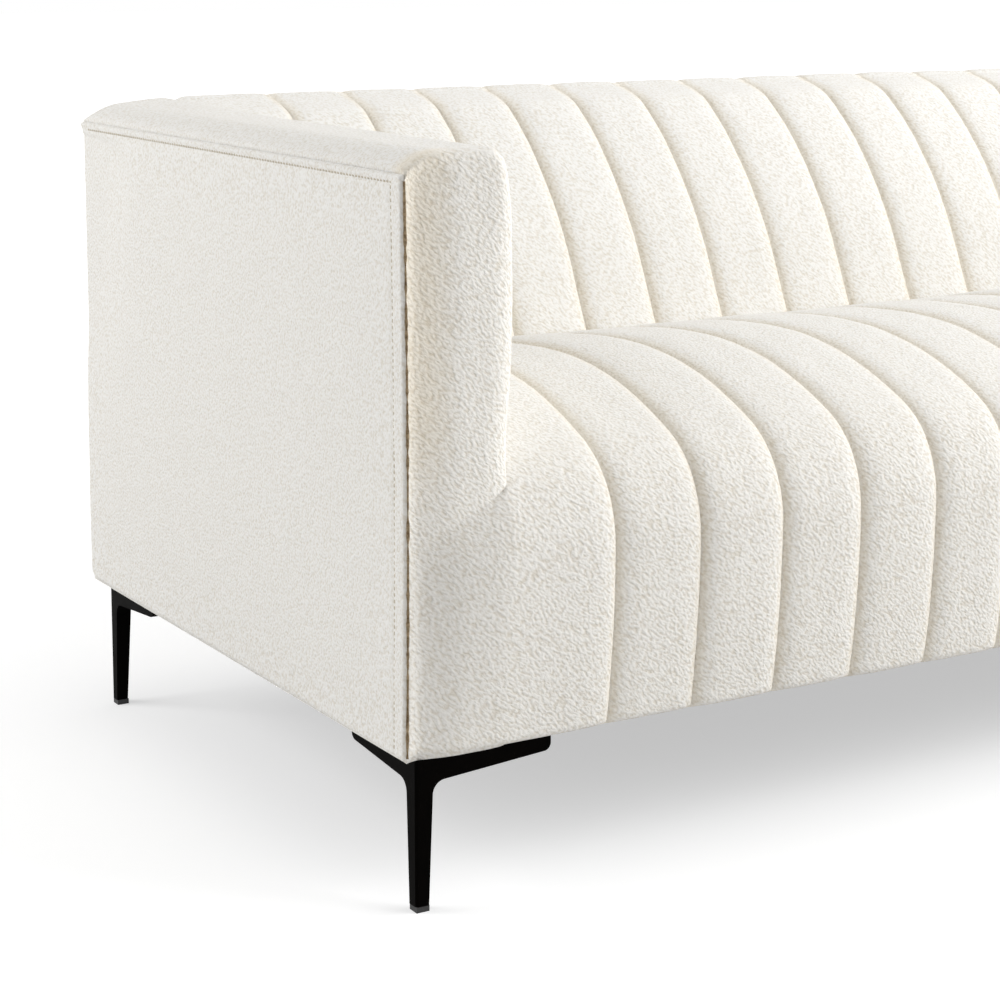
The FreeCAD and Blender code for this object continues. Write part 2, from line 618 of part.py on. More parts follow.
def ring(sketch, across, along, diameter):
    """A circle whose place and size are expressions."""
    centre = FreeCAD.Vector(number(across), number(along), 0)
    circle = Part.Circle(centre, FreeCAD.Vector(0, 0, 1), number(diameter) / 2)
    geometry = sketch.addGeometry(circle)
    size = sketch.addConstraint(Sketcher.Constraint("Diameter", geometry, number(diameter)))
    sketch.setExpression(f"Constraints[{size}]", str(diameter))
    pin(sketch, "DistanceX", geometry, 3, across)
    pin(sketch, "DistanceY", geometry, 3, along)


def spring_route():
    """A zigzag from the front rail to the seat rear rail: cross bars joined by round bends."""
    left = f"({FIRST_SPRING} - dims.spring_width / 2)"
    right = f"({FIRST_SPRING} + dims.spring_width / 2)"
    bend = f"({SPRING_STEP} / 2)"
    route = [(left, SPRING_START)]
    last = int(number("dims.spring_bars")) - 1
    for index in range(last):
        level = f"({SPRING_START} + {index} * {SPRING_STEP})"
        side, turn, inset = (left, "right", f"+ {bend}")
        if index % 2 == 0:
            side, turn, inset = (right, "left", f"- {bend}")
        route += [
            (f"{side} {inset}", level),
            (side, f"{level} + {bend}", bend, turn),
            (f"{side} {inset}", f"{level} + 2 * {bend}", bend, turn),
        ]
    route.append((right if last % 2 == 0 else left, SPRING_END))
    return route


def make_springs():
    """Zigzag springs across the seat, their clips, tie wires and the felt pad on them."""
    body = new_body("seat_springs")
    spine = new_sketch(body, "spring_spine", "XY_Plane", SPRING_LEVEL)
    outline(spine, spring_route(), closed=False)
    section = new_sketch(body, "spring_section", "YZ_Plane", f"{FIRST_SPRING} - dims.spring_width / 2")
    ring(section, SPRING_START, SPRING_LEVEL, "dims.spring_wire")
    spring = pipe(body, "spring", section, spine)
    row_along_x(body, "springs", [spring], "dims.spring_spacing", "dims.spring_count")

    body = new_body("seat_spring_clips")
    place = f"{FIRST_SPRING} - dims.spring_width / 2 + dims.spring_wire"
    shape = new_sketch(body, "clip_outline", "YZ_Plane", place)
    room = "(dims.spring_wire / 2 + dims.clip_gap)"
    low, roof = f"({RAIL_TOP} + dims.clip_thickness)", f"({SPRING_LEVEL} + {room})"
    for centre, sign in ((SPRING_START, "-"), (SPRING_END, "+")):
        away = "+" if sign == "-" else "-"
        wall = f"({centre} {sign} {room})"
        outer = f"({wall} {sign} dims.clip_thickness)"
        base = f"({centre} {away} dims.clip_width / 2)"
        lip, top = f"({centre} {away} {room})", f"({roof} + dims.clip_thickness)"
        outline(shape, [
            (outer, RAIL_TOP), (base, RAIL_TOP), (base, low), (wall, low), (wall, roof),
            (lip, roof), (lip, top), (outer, top),
        ])
    clip = pad(body, "clip", shape, "dims.clip_width")
    row_along_x(body, "clips", [clip], "dims.spring_spacing", "dims.spring_count")

    body = new_body("seat_tie_wires")
    start = f"({FIRST_SPRING} - dims.spring_width)"
    shape = new_sketch(body, "tie_section", "YZ_Plane", start)
    level = f"{SPRING_LEVEL} - (dims.spring_wire + dims.tie_wire) / 2"
    for share in (1, 2):
        along = f"{SPRING_START} + {share} * ({SPRING_END} - {SPRING_START}) / 3"
        ring(shape, along, level, "dims.tie_wire")
    pad(body, "tie", shape, f"-2 * {start}")

    felt = box("felt", (f"-{SEAT_HALF}", f"({SPRING_START} + dims.pad_margin)", PAD_LEVEL),
               (SEAT_HALF, f"({SPRING_END} - dims.pad_margin)", SEAT_FOAM_LEVEL))
    keep(felt, "spring_felt_pad")


def make_arm_cover():
    """One padded piece over the arm front, top and inner face. Its outer lip ends at the
    side seam, and the part between the seat and the frame is left out."""
    body = doc.addObject("PartDesign::Body", "arm_shape")
    section = new_sketch(body, "arm_section", "XZ_Plane", f"-({FRONT})")
    outer, inner = f"-{HALF}", f"-{SEAT_HALF}"
    foot = f"({UNDER} + dims.arm_bulge_foot_rise)"
    edge = f"({ARM_TOP} - dims.arm_inner_radius)"
    rise = f"(({edge} - {foot}) / 2)"
    outline(section, [
        (outer, UNDER), (outer, SEAM_TOP),
        (f"{outer} + dims.arm_edge_width", ARM_TOP, "dims.arm_edge_radius", "right"),
        (f"{inner} - dims.arm_inner_radius", ARM_TOP),
        (inner, edge, "dims.arm_inner_radius", "right"),
        (inner, foot, f"(({rise} ^ 2 + dims.arm_bulge ^ 2) / (2 * dims.arm_bulge))", "right"),
        (inner, UNDER),
    ])
    block = pad(body, "arm_block", section, BODY_DEPTH, reverse=True)
    doc.recompute()
    rounded = body.newObject("PartDesign::Fillet", "arm_front_edges")
    front, side = number(FRONT), number(f"-{HALF}")
    rounded.Base = (block, [
        f"Edge{index}" for index, line in enumerate(block.Shape.Edges, start=1)
        if line.BoundBox.YMax < front + TOUCHING and line.BoundBox.XMax > side + TOUCHING
        and line.BoundBox.ZMax > number(UNDER) + TOUCHING
    ])
    bind(rounded, Radius="dims.arm_front_fillet")
    corner = new_sketch(body, "arm_rear_corner", "YZ_Plane", f"-{HALF} - {BEYOND}")
    fall = "(dims.arm_top_rise - dims.side_seam_rise)"
    outline(corner, [
        (f"{REAR} - {fall}", ARM_TOP), (REAR, SEAM_TOP, fall, "right"),
        (f"{REAR} + {fall}", SEAM_TOP), (f"{REAR} + {fall}", f"{ARM_TOP} + {fall}"),
        (f"{REAR} - {fall}", f"{ARM_TOP} + {fall}"),
    ])
    rear = body.newObject("PartDesign::Pocket", "arm_rear_round")
    rear.Profile = corner
    rear.Reversed = True
    bind(rear, Length=f"{ARM_WIDTH} + 2 * {BEYOND}")

    low = f"({UNDER} - {BEYOND})"
    wall = f"(-{HALF} + {PADDED})"
    beyond_side = f"(-{HALF} - {BEYOND})"
    front_wall = f"({FRONT} + {PADDED})"
    beyond_rear = f"({REAR} + {BEYOND})"
    inner_wall = f"(-{HALF} + {ARM_COVER_START})"
    beyond_inner = f"(-{SEAT_HALF} + {BEYOND})"
    hollow = fuse("arm_hollow", [
        box("arm_inside", (wall, front_wall, low), (inner_wall, REAR_FRAME, ARM_FOAM_TOP)),
        box("arm_side_opening", (beyond_side, front_wall, low), (wall, beyond_rear, SEAM_TOP)),
        box("arm_rear_opening", (beyond_side, REAR_FRAME, low), (beyond_inner, beyond_rear, SEAM_TOP)),
        box("arm_seat_opening", (inner_wall, front_wall, low), (beyond_inner, beyond_rear, ARM_TUCK)),
    ])
    room = doc.addObject("PartDesign::Body", "back_room")
    shape = new_sketch(room, "back_room_outline", "YZ_Plane", f"-{SEAT_HALF}")
    edge = back_front_edge("dims.channel_crown")
    outline(shape, edge + [(beyond_rear, SEAM_TOP), (beyond_rear, BACK_TUCK)])
    pad(room, "back_room_pad", shape, f"2 * {SEAT_HALF}")
    cover = cut("arm_cover", cut("arm_skin", body, hollow), room)
    keep(cover, "arm_cover_left")
    mirrored(cover, "arm_cover_right")


def make_arm_layers():
    """Foam and boards of the left arm, with their copies in the right one."""
    side = f"-{HALF}"
    outer_foam, inner_foam = f"({side} + {PADDED})", f"({side} + {ARM_COVER_START})"
    front_face = f"({FRONT} + {PADDED})"
    layers = {
        "arm_top_foam": ((outer_foam, front_face, FRAME_TOP), (inner_foam, REAR_FRAME, ARM_FOAM_TOP)),
        "arm_front_foam": ((outer_foam, front_face, UNDER), (inner_foam, FRONT_FRAME, FRAME_TOP)),
        "arm_inner_foam": (
            (f"({side} + {ARM_FOAM_START})", FRONT_FRAME, ARM_TUCK),
            (inner_foam, REAR_FRAME, FRAME_TOP)),
        "arm_inner_board": (
            (f"({side} + {POST_INNER})", FRONT_FRAME, ARM_TUCK),
            (f"({side} + {ARM_FOAM_START})", REAR_FRAME, FRAME_TOP)),
        "arm_outer_board": (
            (outer_foam, FRONT_FRAME, UNDER), (f"({side} + {POST_OUTER})", REAR_FRAME, FRAME_TOP)),
        "side_wadding": (
            (f"({side} + dims.cover_thickness)", front_face, UNDER),
            (outer_foam, f"({REAR} - dims.cover_thickness)", SEAM_TOP)),
        "side_cover": (
            (side, front_face, UNDER),
            (f"({side} + dims.cover_thickness)", f"({REAR} - dims.cover_thickness)", SEAM_TOP)),
    }
    for name, (low, high) in layers.items():
        left = keep(box(name, low, high), f"{name}_left")
        mirrored(left, f"{name}_right")


def make_outside_back():
    """Cover, wadding and board behind the back, and the cloth under the sofa."""
    edge = f"({HALF} - {PADDED})"
    board_front, board_rear = REAR_FRAME, f"({REAR_FRAME} + dims.board_thickness)"
    skin = f"({REAR} - dims.cover_thickness)"
    board = box("rear_board", (f"-{edge}", board_front, UNDER), (edge, board_rear, SEAM_TOP))
    keep(board, "back_outer_board")
    wadding = box("rear_wadding", (f"-{edge}", board_rear, UNDER), (edge, skin, SEAM_TOP))
    keep(wadding, "back_wadding")
    cover = box("rear_cover", (f"-{HALF}", skin, UNDER), (HALF, REAR, SEAM_TOP))
    keep(cover, "outside_back_cover")


def frame_boxes():
    """The wooden members as plain blocks, before the holes for dowels and screws."""
    post_side, post_inside = f"(-{HALF} + {POST_OUTER})", f"(-{HALF} + {POST_INNER})"
    rail_inside = f"({post_side} + dims.rail_thickness)"
    low = f"({RAIL_TOP} - dims.rail_height)"
    left = {
        "arm_front_post": (
            (post_side, FRONT_FRAME, low), (post_inside, FRONT_RAIL_REAR, POST_TOP)),
        "arm_rear_post": (
            (post_side, REAR_RAIL_FRONT, low), (post_inside, REAR_FRAME, POST_TOP)),
        "arm_top_rail": (
            (post_side, FRONT_FRAME, POST_TOP), (post_inside, REAR_FRAME, FRAME_TOP)),
        "arm_tack_rail": (
            (f"({post_inside} - dims.rail_thickness)", FRONT_RAIL_REAR, ARM_TUCK),
            (post_inside, REAR_RAIL_FRONT, f"({ARM_TUCK} + dims.tack_rail_height)")),
        "side_rail": (
            (post_side, FRONT_RAIL_REAR, low), (rail_inside, REAR_RAIL_FRONT, RAIL_TOP)),
    }
    across = {
        "front_rail": (
            (post_inside, FRONT_FRAME, low), (f"-{post_inside}", FRONT_RAIL_REAR, RAIL_TOP)),
        "seat_rear_rail": (
            (rail_inside, BACK_FOOT, low), (f"-{rail_inside}", SEAT_RAIL_REAR, RAIL_TOP)),
        "back_bottom_rail": (
            (post_inside, REAR_RAIL_FRONT, low), (f"-{post_inside}", REAR_FRAME, RAIL_TOP)),
        "back_top_rail": (
            (post_inside, REAR_RAIL_FRONT, f"({FRAME_TOP} - dims.top_rail_height)"),
            (f"-{post_inside}", REAR_FRAME, FRAME_TOP)),
    }
    return left, across


def cylinder(name, centre, diameter, length, axis="z"):
    """A cylinder that starts at centre and runs along an axis."""
    rod = doc.addObject("Part::Cylinder", name)
    turns = {"x": (0, 1, 0, 90), "y": (1, 0, 0, -90), "z": (0, 0, 1, 0)}
    turn = turns[axis]
    rod.Placement = FreeCAD.Placement(
        FreeCAD.Vector(), FreeCAD.Rotation(FreeCAD.Vector(*turn[:3]), turn[3]))
    bind(rod, Radius=f"({diameter}) / 2", Height=length)
    bind(rod, Placement__Base__x=centre[0], Placement__Base__y=centre[1], Placement__Base__z=centre[2])
    return rod


def mirror_copy(name, source, normal, base_y="0"):
    """A mirrored helper object that isn't a piece by itself."""
    copy = doc.addObject("Part::Mirroring", name)
    copy.Source = source
    copy.Normal = normal
    bind(copy, Base__y=base_y)
    return copy


def make_dowels():
    """Two dowels in each joint between a rail and what it meets."""
    half_length = "dims.dowel_length / 2"
    post_joint = f"(-{HALF} + {POST_INNER} - {half_length})"
    side_joint = f"(-{HALF} + {POST_OUTER} + dims.rail_thickness - {half_length})"
    side_centre = f"(-{HALF} + {POST_OUTER} + dims.rail_thickness / 2)"
    front_centre = f"({FRONT_FRAME} + dims.rail_thickness / 2)"
    rear_centre = f"({REAR_RAIL_FRONT} + dims.rail_thickness / 2)"
    rail_middle = f"({RAIL_TOP} - dims.rail_height / 2)"
    joints = {
        "front_rail": (post_joint, front_centre, rail_middle, "x"),
        "back_bottom": (post_joint, rear_centre, rail_middle, "x"),
        "back_top": (post_joint, rear_centre, POST_TOP, "x"),
        "seat_rear": (side_joint, f"({BACK_FOOT} + dims.rail_thickness / 2)", rail_middle, "x"),
        "side_front": (side_centre, f"({FRONT_RAIL_REAR} - {half_length})", rail_middle, "y"),
        "side_rear": (side_centre, f"({REAR_RAIL_FRONT} - {half_length})", rail_middle, "y"),
    }
    rods = []
    for name, (across, along, level, axis) in joints.items():
        for step in ("-", "+"):
            height = f"{level} {step} dims.dowel_spacing / 2"
            rods.append(cylinder(
                f"dowel_{name}", (across, along, height),
                "dims.dowel_diameter", "dims.dowel_length", axis))
    left = gather("dowels_left", rods)
    return keep(gather("dowels", [left, mirror_copy("dowels_right", left, (1, 0, 0))]), "frame_dowels")


def make_rail_screws():
    """Screws down through each arm top rail into its two posts."""
    shanks = []
    foot = f"{FRAME_TOP} - dims.rail_screw_length"
    places = (f"{FRONT_FRAME} + dims.rail_thickness / 2", f"{REAR_FRAME} - dims.rail_thickness / 2")
    for share in ("1 / 4", "3 / 4"):
        across = f"-{HALF} + {POST_OUTER} + dims.post_width * {share}"
        for along in places:
            shanks.append(cylinder(
                "rail_screw", (across, along, foot), "dims.rail_screw_diameter", "dims.rail_screw_length"))
    left = gather("rail_screws_left", shanks)
    right = mirror_copy("rail_screws_right", left, (1, 0, 0))
    return keep(gather("rail_screws", [left, right]), "frame_screws")


# Legs: the outer corner of the front left leg, and the plane that mirrors it to the rear

LEG_X = f"(-{HALF} + dims.leg_side_inset)"
LEG_Y = f"({FRONT} + dims.leg_front_inset)"
LEG_MIRROR = f"(({LEG_Y} + {REAR} - dims.leg_rear_inset) / 2)"
FLANGE_FOOT = f"({UNDER} - dims.flange_thickness)"
LEG_SCREWS = (
    ("dims.leg_screw_near", "dims.leg_screw_setback"),
    ("dims.leg_screw_far", "dims.leg_screw_setback"),
    ("dims.leg_screw_setback", "dims.leg_side_screw_near"),
    ("dims.leg_screw_setback", "dims.leg_side_screw_far"),
)


def four_corners(name, front_left):
    """An object at the front left corner with its copies at the other three."""
    rear_left = mirror_copy(f"{name}_rear", front_left, (0, 1, 0), LEG_MIRROR)
    rights = [mirror_copy(f"{name}_right", obj, (1, 0, 0)) for obj in (front_left, rear_left)]
    return [front_left, rear_left, *rights]


def make_leg_screws():
    """Four screws up through the flange of each leg into the frame."""
    screws = []
    for across, along in LEG_SCREWS:
        place = (f"{LEG_X} + {across}", f"{LEG_Y} + {along}")
        shank = cylinder(
            "leg_shank", (*place, FLANGE_FOOT), "dims.leg_screw_diameter", "dims.leg_screw_length")
        head = cylinder(
            "leg_head", (*place, f"{FLANGE_FOOT} - dims.leg_screw_head_height"),
            "dims.leg_screw_head", "dims.leg_screw_head_height")
        screws.append(fuse("leg_screw", [head, shank]))
    corner = gather("leg_screws_corner", screws)
    return keep(gather("leg_screws_all", four_corners("leg_screws_group", corner)), "leg_screws")


def leg_side(length):
    """Side view of one bracket arm, from the leg to the rounded tip."""
    web_level = f"({UNDER} - dims.leg_arm_root - dims.leg_web_radius)"
    share = f"(({web_level} - dims.glide_height) / ({UNDER} - dims.glide_height))"
    leg = f"(dims.leg_foot_size + (dims.leg_top_size - dims.leg_foot_size) * {share})"
    return [
        ("0", UNDER), (length, UNDER),
        (length, f"{UNDER} - dims.leg_arm_tip + dims.leg_arm_nose"),
        (f"{length} - dims.leg_arm_nose", f"{UNDER} - dims.leg_arm_tip", "dims.leg_arm_nose", "right"),
        (f"{leg} + dims.leg_web_radius", f"{UNDER} - dims.leg_arm_root"),
        (leg, web_level, "dims.leg_web_radius", "left"),
        ("0", web_level),
    ]


def make_legs():
    """A tapered leg with two bracket arms and a screw flange, four times."""
    body = new_body("leg_front_left")
    bind(body, Placement__Base__x=LEG_X, Placement__Base__y=LEG_Y)

    foot = new_sketch(body, "leg_foot", "XY_Plane", "dims.glide_height")
    size = "dims.leg_foot_size"
    outline(foot, [("0", "0"), (size, "0"), (size, size), ("0", size)])
    head = new_sketch(body, "leg_head_outline", "XY_Plane", UNDER)
    size = "dims.leg_top_size"
    outline(head, [("0", "0"), (size, "0"), (size, size), ("0", size)])
    column = body.newObject("PartDesign::AdditiveLoft", "leg_column")
    column.Profile = foot
    column.Sections = [head]
    column.Ruled = True

    along_front = new_sketch(body, "leg_front_arm", "XZ_Plane")
    outline(along_front, leg_side("dims.leg_arm_length"))
    pad(body, "leg_front_arm_pad", along_front, "dims.leg_arm_width", reverse=True)
    along_side = new_sketch(body, "leg_side_arm", "YZ_Plane")
    outline(along_side, leg_side("dims.leg_side_arm_length"))
    pad(body, "leg_side_arm_pad", along_side, "dims.leg_arm_width")

    plate = new_sketch(body, "leg_flange", "XY_Plane", FLANGE_FOOT)
    long, short, wide = "dims.leg_arm_length", "dims.leg_side_arm_length", "dims.flange_width"
    outline(plate, [("0", "0"), (long, "0"), (long, wide), (wide, wide), (wide, short), ("0", short)])
    flange = pad(body, "leg_flange_pad", plate, "dims.flange_thickness")
    doc.recompute()

    edges = [
        f"Edge{index}" for index, line in enumerate(flange.Shape.Edges, start=1)
        if line.BoundBox.XMax < TOUCHING and line.BoundBox.YMax < TOUCHING
    ]
    bevel = body.newObject("PartDesign::Chamfer", "leg_outer_edge")
    bevel.Base = (flange, edges)
    bind(bevel, Size="dims.leg_edge_chamfer")

    holes = new_sketch(body, "leg_screw_holes", "XY_Plane", UNDER)
    for across, along in LEG_SCREWS:
        ring(holes, across, along, "dims.leg_screw_diameter + dims.leg_hole_clearance")
    drill(body, "leg_screw_drill", holes, "dims.flange_thickness", upward=False)
    socket = new_sketch(body, "glide_socket", "XY_Plane", "dims.glide_height")
    centre = "dims.leg_foot_size / 2"
    ring(socket, centre, centre, "dims.glide_stem_diameter")
    drill(body, "glide_drill", socket, "dims.glide_stem_length", upward=True)

    mirrored(body, "leg_front_right")
    rear = keep(mirror_copy("leg_rear", body, (0, 1, 0), LEG_MIRROR), "leg_rear_left")
    mirrored(rear, "leg_rear_right")


def drill(body, name, sketch, depth, upward):
    """Holes from a horizontal sketch, with a check that they take material away."""
    doc.recompute()
    before = body.Shape.Volume
    pocket = body.newObject("PartDesign::Pocket", name)
    pocket.Profile = sketch
    pocket.Reversed = upward
    bind(pocket, Length=depth)
    doc.recompute()
    if body.Shape.Volume >= before:
        raise RuntimeError(f"{name} cuts nothing")
    return pocket


def make_glides():
    """A plastic glide with a stem in the foot of each leg."""
    near = "(dims.leg_foot_size - dims.glide_size) / 2"
    far = "(dims.leg_foot_size + dims.glide_size) / 2"
    foot = box("glide_foot", (f"{LEG_X} + {near}", f"{LEG_Y} + {near}", "0"),
               (f"{LEG_X} + {far}", f"{LEG_Y} + {far}", "dims.glide_height"))
    middle, overlap = "dims.leg_foot_size / 2", "dims.glide_height / 2"
    stem = cylinder(
        "glide_stem", (f"{LEG_X} + {middle}", f"{LEG_Y} + {middle}", overlap),
        "dims.glide_stem_diameter", f"{overlap} + dims.glide_stem_length")
    glide = fuse("glide", [foot, stem])
    keep(gather("glides", four_corners("glide_group", glide)), "leg_glides")


def make_frame():
    """Rails, posts, blocks and stringers, with holes where dowels and screws go."""
    dowels, rail_screws, leg_screws = make_dowels(), make_rail_screws(), make_leg_screws()
    fixings = gather("fixings", [dowels, rail_screws, leg_screws])
    left, across = frame_boxes()
    for name, (low, high) in left.items():
        member = keep(cut(name, box(f"{name}_block", low, high), fixings), f"{name}_left")
        mirrored(member, f"{name}_right")
    for name, (low, high) in across.items():
        keep(cut(name, box(f"{name}_block", low, high), fixings), name)

    foot = f"({RAIL_TOP} - dims.rail_height)"
    start = f"(-{HALF} + {POST_OUTER} + dims.rail_thickness)"
    end, top = f"({start} + dims.block_length)", f"({foot} + dims.block_height)"
    blocks = [
        box("corner_block", (start, low, foot), (end, f"({low} + dims.block_depth)", top))
        for low in (FRONT_RAIL_REAR, f"({REAR_RAIL_FRONT} - dims.block_depth)")
    ]
    corner = gather("blocks_left", blocks)
    drilled = cut("blocks_drilled", corner, leg_screws)
    keep(gather("blocks", [drilled, mirror_copy("blocks_right", drilled, (1, 0, 0))]), "corner_blocks")

    stringers = []
    for index in range(int(number("dims.stringer_count"))):
        middle = f"({index} - (dims.stringer_count - 1) / 2) * dims.stringer_spacing"
        near = (f"({middle} - dims.rail_thickness / 2)", FRONT_RAIL_REAR, foot)
        far = (f"({middle} + dims.rail_thickness / 2)", BACK_FOOT, f"({foot} + dims.stringer_height)")
        stringers.append(box("stringer", near, far))
    keep(gather("stringers", stringers), "seat_stringers")

    edge = f"({HALF} - {POST_OUTER})"
    cloth = box("cloth", (f"-{edge}", FRONT_FRAME, UNDER), (edge, REAR_FRAME, FRAME_FOOT))
    keep(cut("under_cloth", cloth, leg_screws), "dust_cover")


make_seat_cover()
make_seat_foam()
make_front_corner_pads()
make_back_cover()
make_back_foam()
make_back_support()
make_springs()
make_arm_cover()
make_arm_layers()
make_outside_back()
make_frame()
make_legs()
make_glides()
doc.recompute()

for obj in doc.Objects:
    if "Invalid" in obj.State or "Error" in obj.State:
        raise RuntimeError(f"{obj.Name} failed: {obj.State}")
for label, obj in pieces.items():
    if obj.Shape.isNull() or not obj.Shape.isValid():
        raise RuntimeError(f"{label} has no valid shape")

os.makedirs("parts", exist_ok=True)
for label, obj in pieces.items():
    obj.Shape.exportStep(f"parts/{label}.step")
print(f"{len(pieces)} pieces, {2 * number(HALF):.1f} wide, {number(BODY_DEPTH):.1f} deep")
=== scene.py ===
import json
import math

import bmesh
import bpy
import numpy as np
from mathutils import Matrix, Vector, noise


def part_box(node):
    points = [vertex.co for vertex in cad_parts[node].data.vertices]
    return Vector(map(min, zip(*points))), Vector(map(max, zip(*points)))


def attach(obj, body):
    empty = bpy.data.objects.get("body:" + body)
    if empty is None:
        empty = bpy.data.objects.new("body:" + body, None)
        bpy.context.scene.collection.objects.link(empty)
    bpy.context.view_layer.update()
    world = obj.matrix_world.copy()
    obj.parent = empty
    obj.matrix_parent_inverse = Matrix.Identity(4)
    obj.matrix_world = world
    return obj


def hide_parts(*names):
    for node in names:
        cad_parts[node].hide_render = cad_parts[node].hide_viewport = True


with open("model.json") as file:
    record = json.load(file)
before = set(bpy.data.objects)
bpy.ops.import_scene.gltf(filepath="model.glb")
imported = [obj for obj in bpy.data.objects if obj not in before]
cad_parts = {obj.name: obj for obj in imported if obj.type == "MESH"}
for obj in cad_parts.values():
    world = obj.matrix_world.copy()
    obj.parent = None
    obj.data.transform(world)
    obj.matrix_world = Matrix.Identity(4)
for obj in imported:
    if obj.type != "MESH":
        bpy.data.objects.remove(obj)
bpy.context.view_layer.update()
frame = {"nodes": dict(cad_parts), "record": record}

# The dressed tuxedo sofa, in metres: +X to the right arm as seen by someone facing the
# sofa, front -Y, up +Z, origin on the floor under the middle.

BODY = "root"

# Places of the frame
SIDE_LOW, SIDE_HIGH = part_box("side_cover_left")
ARM_LOW, ARM_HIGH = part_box("arm_cover_left")
SEAT_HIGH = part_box("seat_cover")[1]
CLOTH_LOW, CLOTH_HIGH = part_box("dust_cover")
HALF = -SIDE_LOW[0]
UNDER = SIDE_LOW[2]
SEAM_TOP = SIDE_HIGH[2]
SEAT_HALF = SEAT_HIGH[0]
SEAT_END = SEAT_HIGH[1]
FRONT = ARM_LOW[1]
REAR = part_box("outside_back_cover")[1][1]
ARM_TOP = ARM_HIGH[2]
FRAME_FRONT = CLOTH_LOW[1]

# Channels
CHANNELS = 16
PITCH = 0.1016
CROWN = 0.008
VALLEY = 0.0025
TOP_CROWN_SHARE = 0.35
TOP_SETTLE = 0.0025
SEAT_TOP_SHARE = 0.75
BACK_SHARE = 0.85
MIDDLE_HALF = CHANNELS * PITCH / 2
END_WIDTH = SEAT_HALF - MIDDLE_HALF
CHANNEL_CELLS = 22
CHANNEL_EVEN = 0.5
END_EVEN = 0.6
PROFILE_POWER = 4.0
PROFILE_ROOT = 0.50
SEAM_SHADE_WIDTH = 0.014
SEAM_WANDER = 0.0012
SEAM_WANDER_SIZE = 0.09
SEAM_WANDER_SHAPE = np.array([0.2, 1, 1])
SEAM_WANDER_FADE = 0.02
CROWN_WANDER = 0.0007
PUCKER = 0.0006
PUCKER_SIZE = 0.019

# Seat outline
BULGE = 0.012
NOSE = 0.105
TOP = 0.460
FACE = 1.170
TAIL = 0.900
APEX_Y = FRONT + 0.254
APEX_Z = UNDER + 0.330
HEM = 0.009
HEM_STEP = 0.0025
SEAT_LEVEL_FROM = 0.5
SEAT_LEVEL_BLEND = 0.4
SEAT_TUCK = 0.007
SEAT_TUCK_WIDTH = 0.014
SEAT_TUCK_START = 0.004
SEAT_TUCK_LENGTH = 0.02
SEAT_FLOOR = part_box("seat_foam")[0][2]

# Back outline
BACK_TOP = SEAM_TOP + 0.026
FOOT_Y = SEAT_END + 0.003 + CROWN
FOOT_Z = UNDER + 0.278
TUCK_Z = UNDER + 0.228
BEND = 0.060
FLAT = 0.074
BACK_EDGE = 0.118
FOOT_LEAN = 66
TOP_LEAN = 38
BACK_LEVEL_FROM = 0.80
BACK_LEVEL_BLEND = 0.18
REAR_STEP = 0.003
REAR_SEAM_REACH = 0.05
REAR_SEAM_HEIGHT = 0.010
REAR_SEAM_SHARE = 0.35
BACK_INNER_GAP = 0.010
BACK_INNER_DROP = 0.03
BACK_INNER_FOOT = 0.04

# Arm
ARM_WIDTH = HALF - SEAT_HALF
ARM_ROUND_WIDTH = 0.045
ARM_ROUND_COLUMNS = 14
ARM_FLAT_COLUMNS = 12
ARM_EDGE_COLUMNS = 9
ARM_SHOWN_FOOT = UNDER + 0.23
ARM_HIDDEN_ROWS = 12
ARM_ROUND_RADIUS = 0.063
ARM_EDGE = 0.016
ARM_FRONT_EDGE = 0.018
ARM_FRONT_TURN = 0.016
ARM_FRONT_PADDING = 0.014
ARM_FRONT_PADDING_FADE = 0.12
ARM_FRONT_FOOT = UNDER + 0.235
ARM_FRONT_FOOT_FADE = 0.08
ARM_FRONT_FOOT_SHARE = 0.3
ARM_FRONT_BLEND = 0.05
ARM_TOP_EDGE = 0.008
ARM_CROWN = 0.015
ARM_CROWN_FOOT = UNDER + 0.178
ARM_CROWN_RISE = 0.25
ARM_CROWN_HEAD = 0.11
ARM_REAR_LIFT = 0.0055
ARM_REAR_LIFT_START = 0.045
ARM_REAR_LIFT_LENGTH = 0.32
ARM_REAR_LIFT_INSET = 0.025
ARM_REAR_LIFT_WIDTH = 0.075
ARM_REAR_STEPS = 9
HOLLOW_WIDTH = 0.062
HOLLOW_DEPTH = 0.009
HOLLOW_FADE = 0.03
LIP_WIDTH = 0.018
LIP_RISE = 0.006
CREASE_OUTER = UNDER + 0.208
CREASE_AHEAD = 0.002
PAD_OUTER = 0.002
CREASE_TUCK = 0.0018
CREASE_TUCK_SHARE = 0.1
CORNER_GAP = 0.003
CORNER_RISE = 0.2

# Cover details
CELL = 0.0045
SEAM_ROLL = 0.004
SEAM_ROLL_WIDTH = 0.004
SEAM_FLAT = 0.02
PANEL_ROLL_WIDTH = 0.0035
PANEL_TURN_UNDER = 0.024
FINE_CELL = 0.0015
ROUND_MARGIN = 0.002
FRONT_BAND = 0.021
TOP_BAND = 0.008
SIDE_FRONT = FRONT + 0.001
SIDE_BOW = 0.004
SIDE_CELL = 0.006
SIDE_LUMP_SIZE = 0.09
BAND_MARGIN = 0.006
STITCH_GROOVE = 0.0014
STITCH_HALF_WIDTH = 0.0030
BAND_RISE = 0.0010
BAND_SLOPE_START = 0.002
BAND_SLOPE = 0.003
PILLOW = 0.0018
PILLOW_FROM_SEAM = 0.12
PILLOW_FROM_EDGE = 0.1
LEAN = 0.009
LEAN_FOOT = 0.19
LEAN_RISE = 0.33
LEAN_HEAD = 0.02
LEAN_LENGTH = 0.16
STITCH_LENGTH = 0.0042
STITCH_PITCH = 0.0062
STITCH_START = 0.012
STITCH_END = 0.02
CREVICE = 0.0012
CREVICE_DEPTH = 0.0030
CREVICE_AHEAD = 0.0005
CREVICE_FOOT = 0.006
CREVICE_HEAD = 0.004
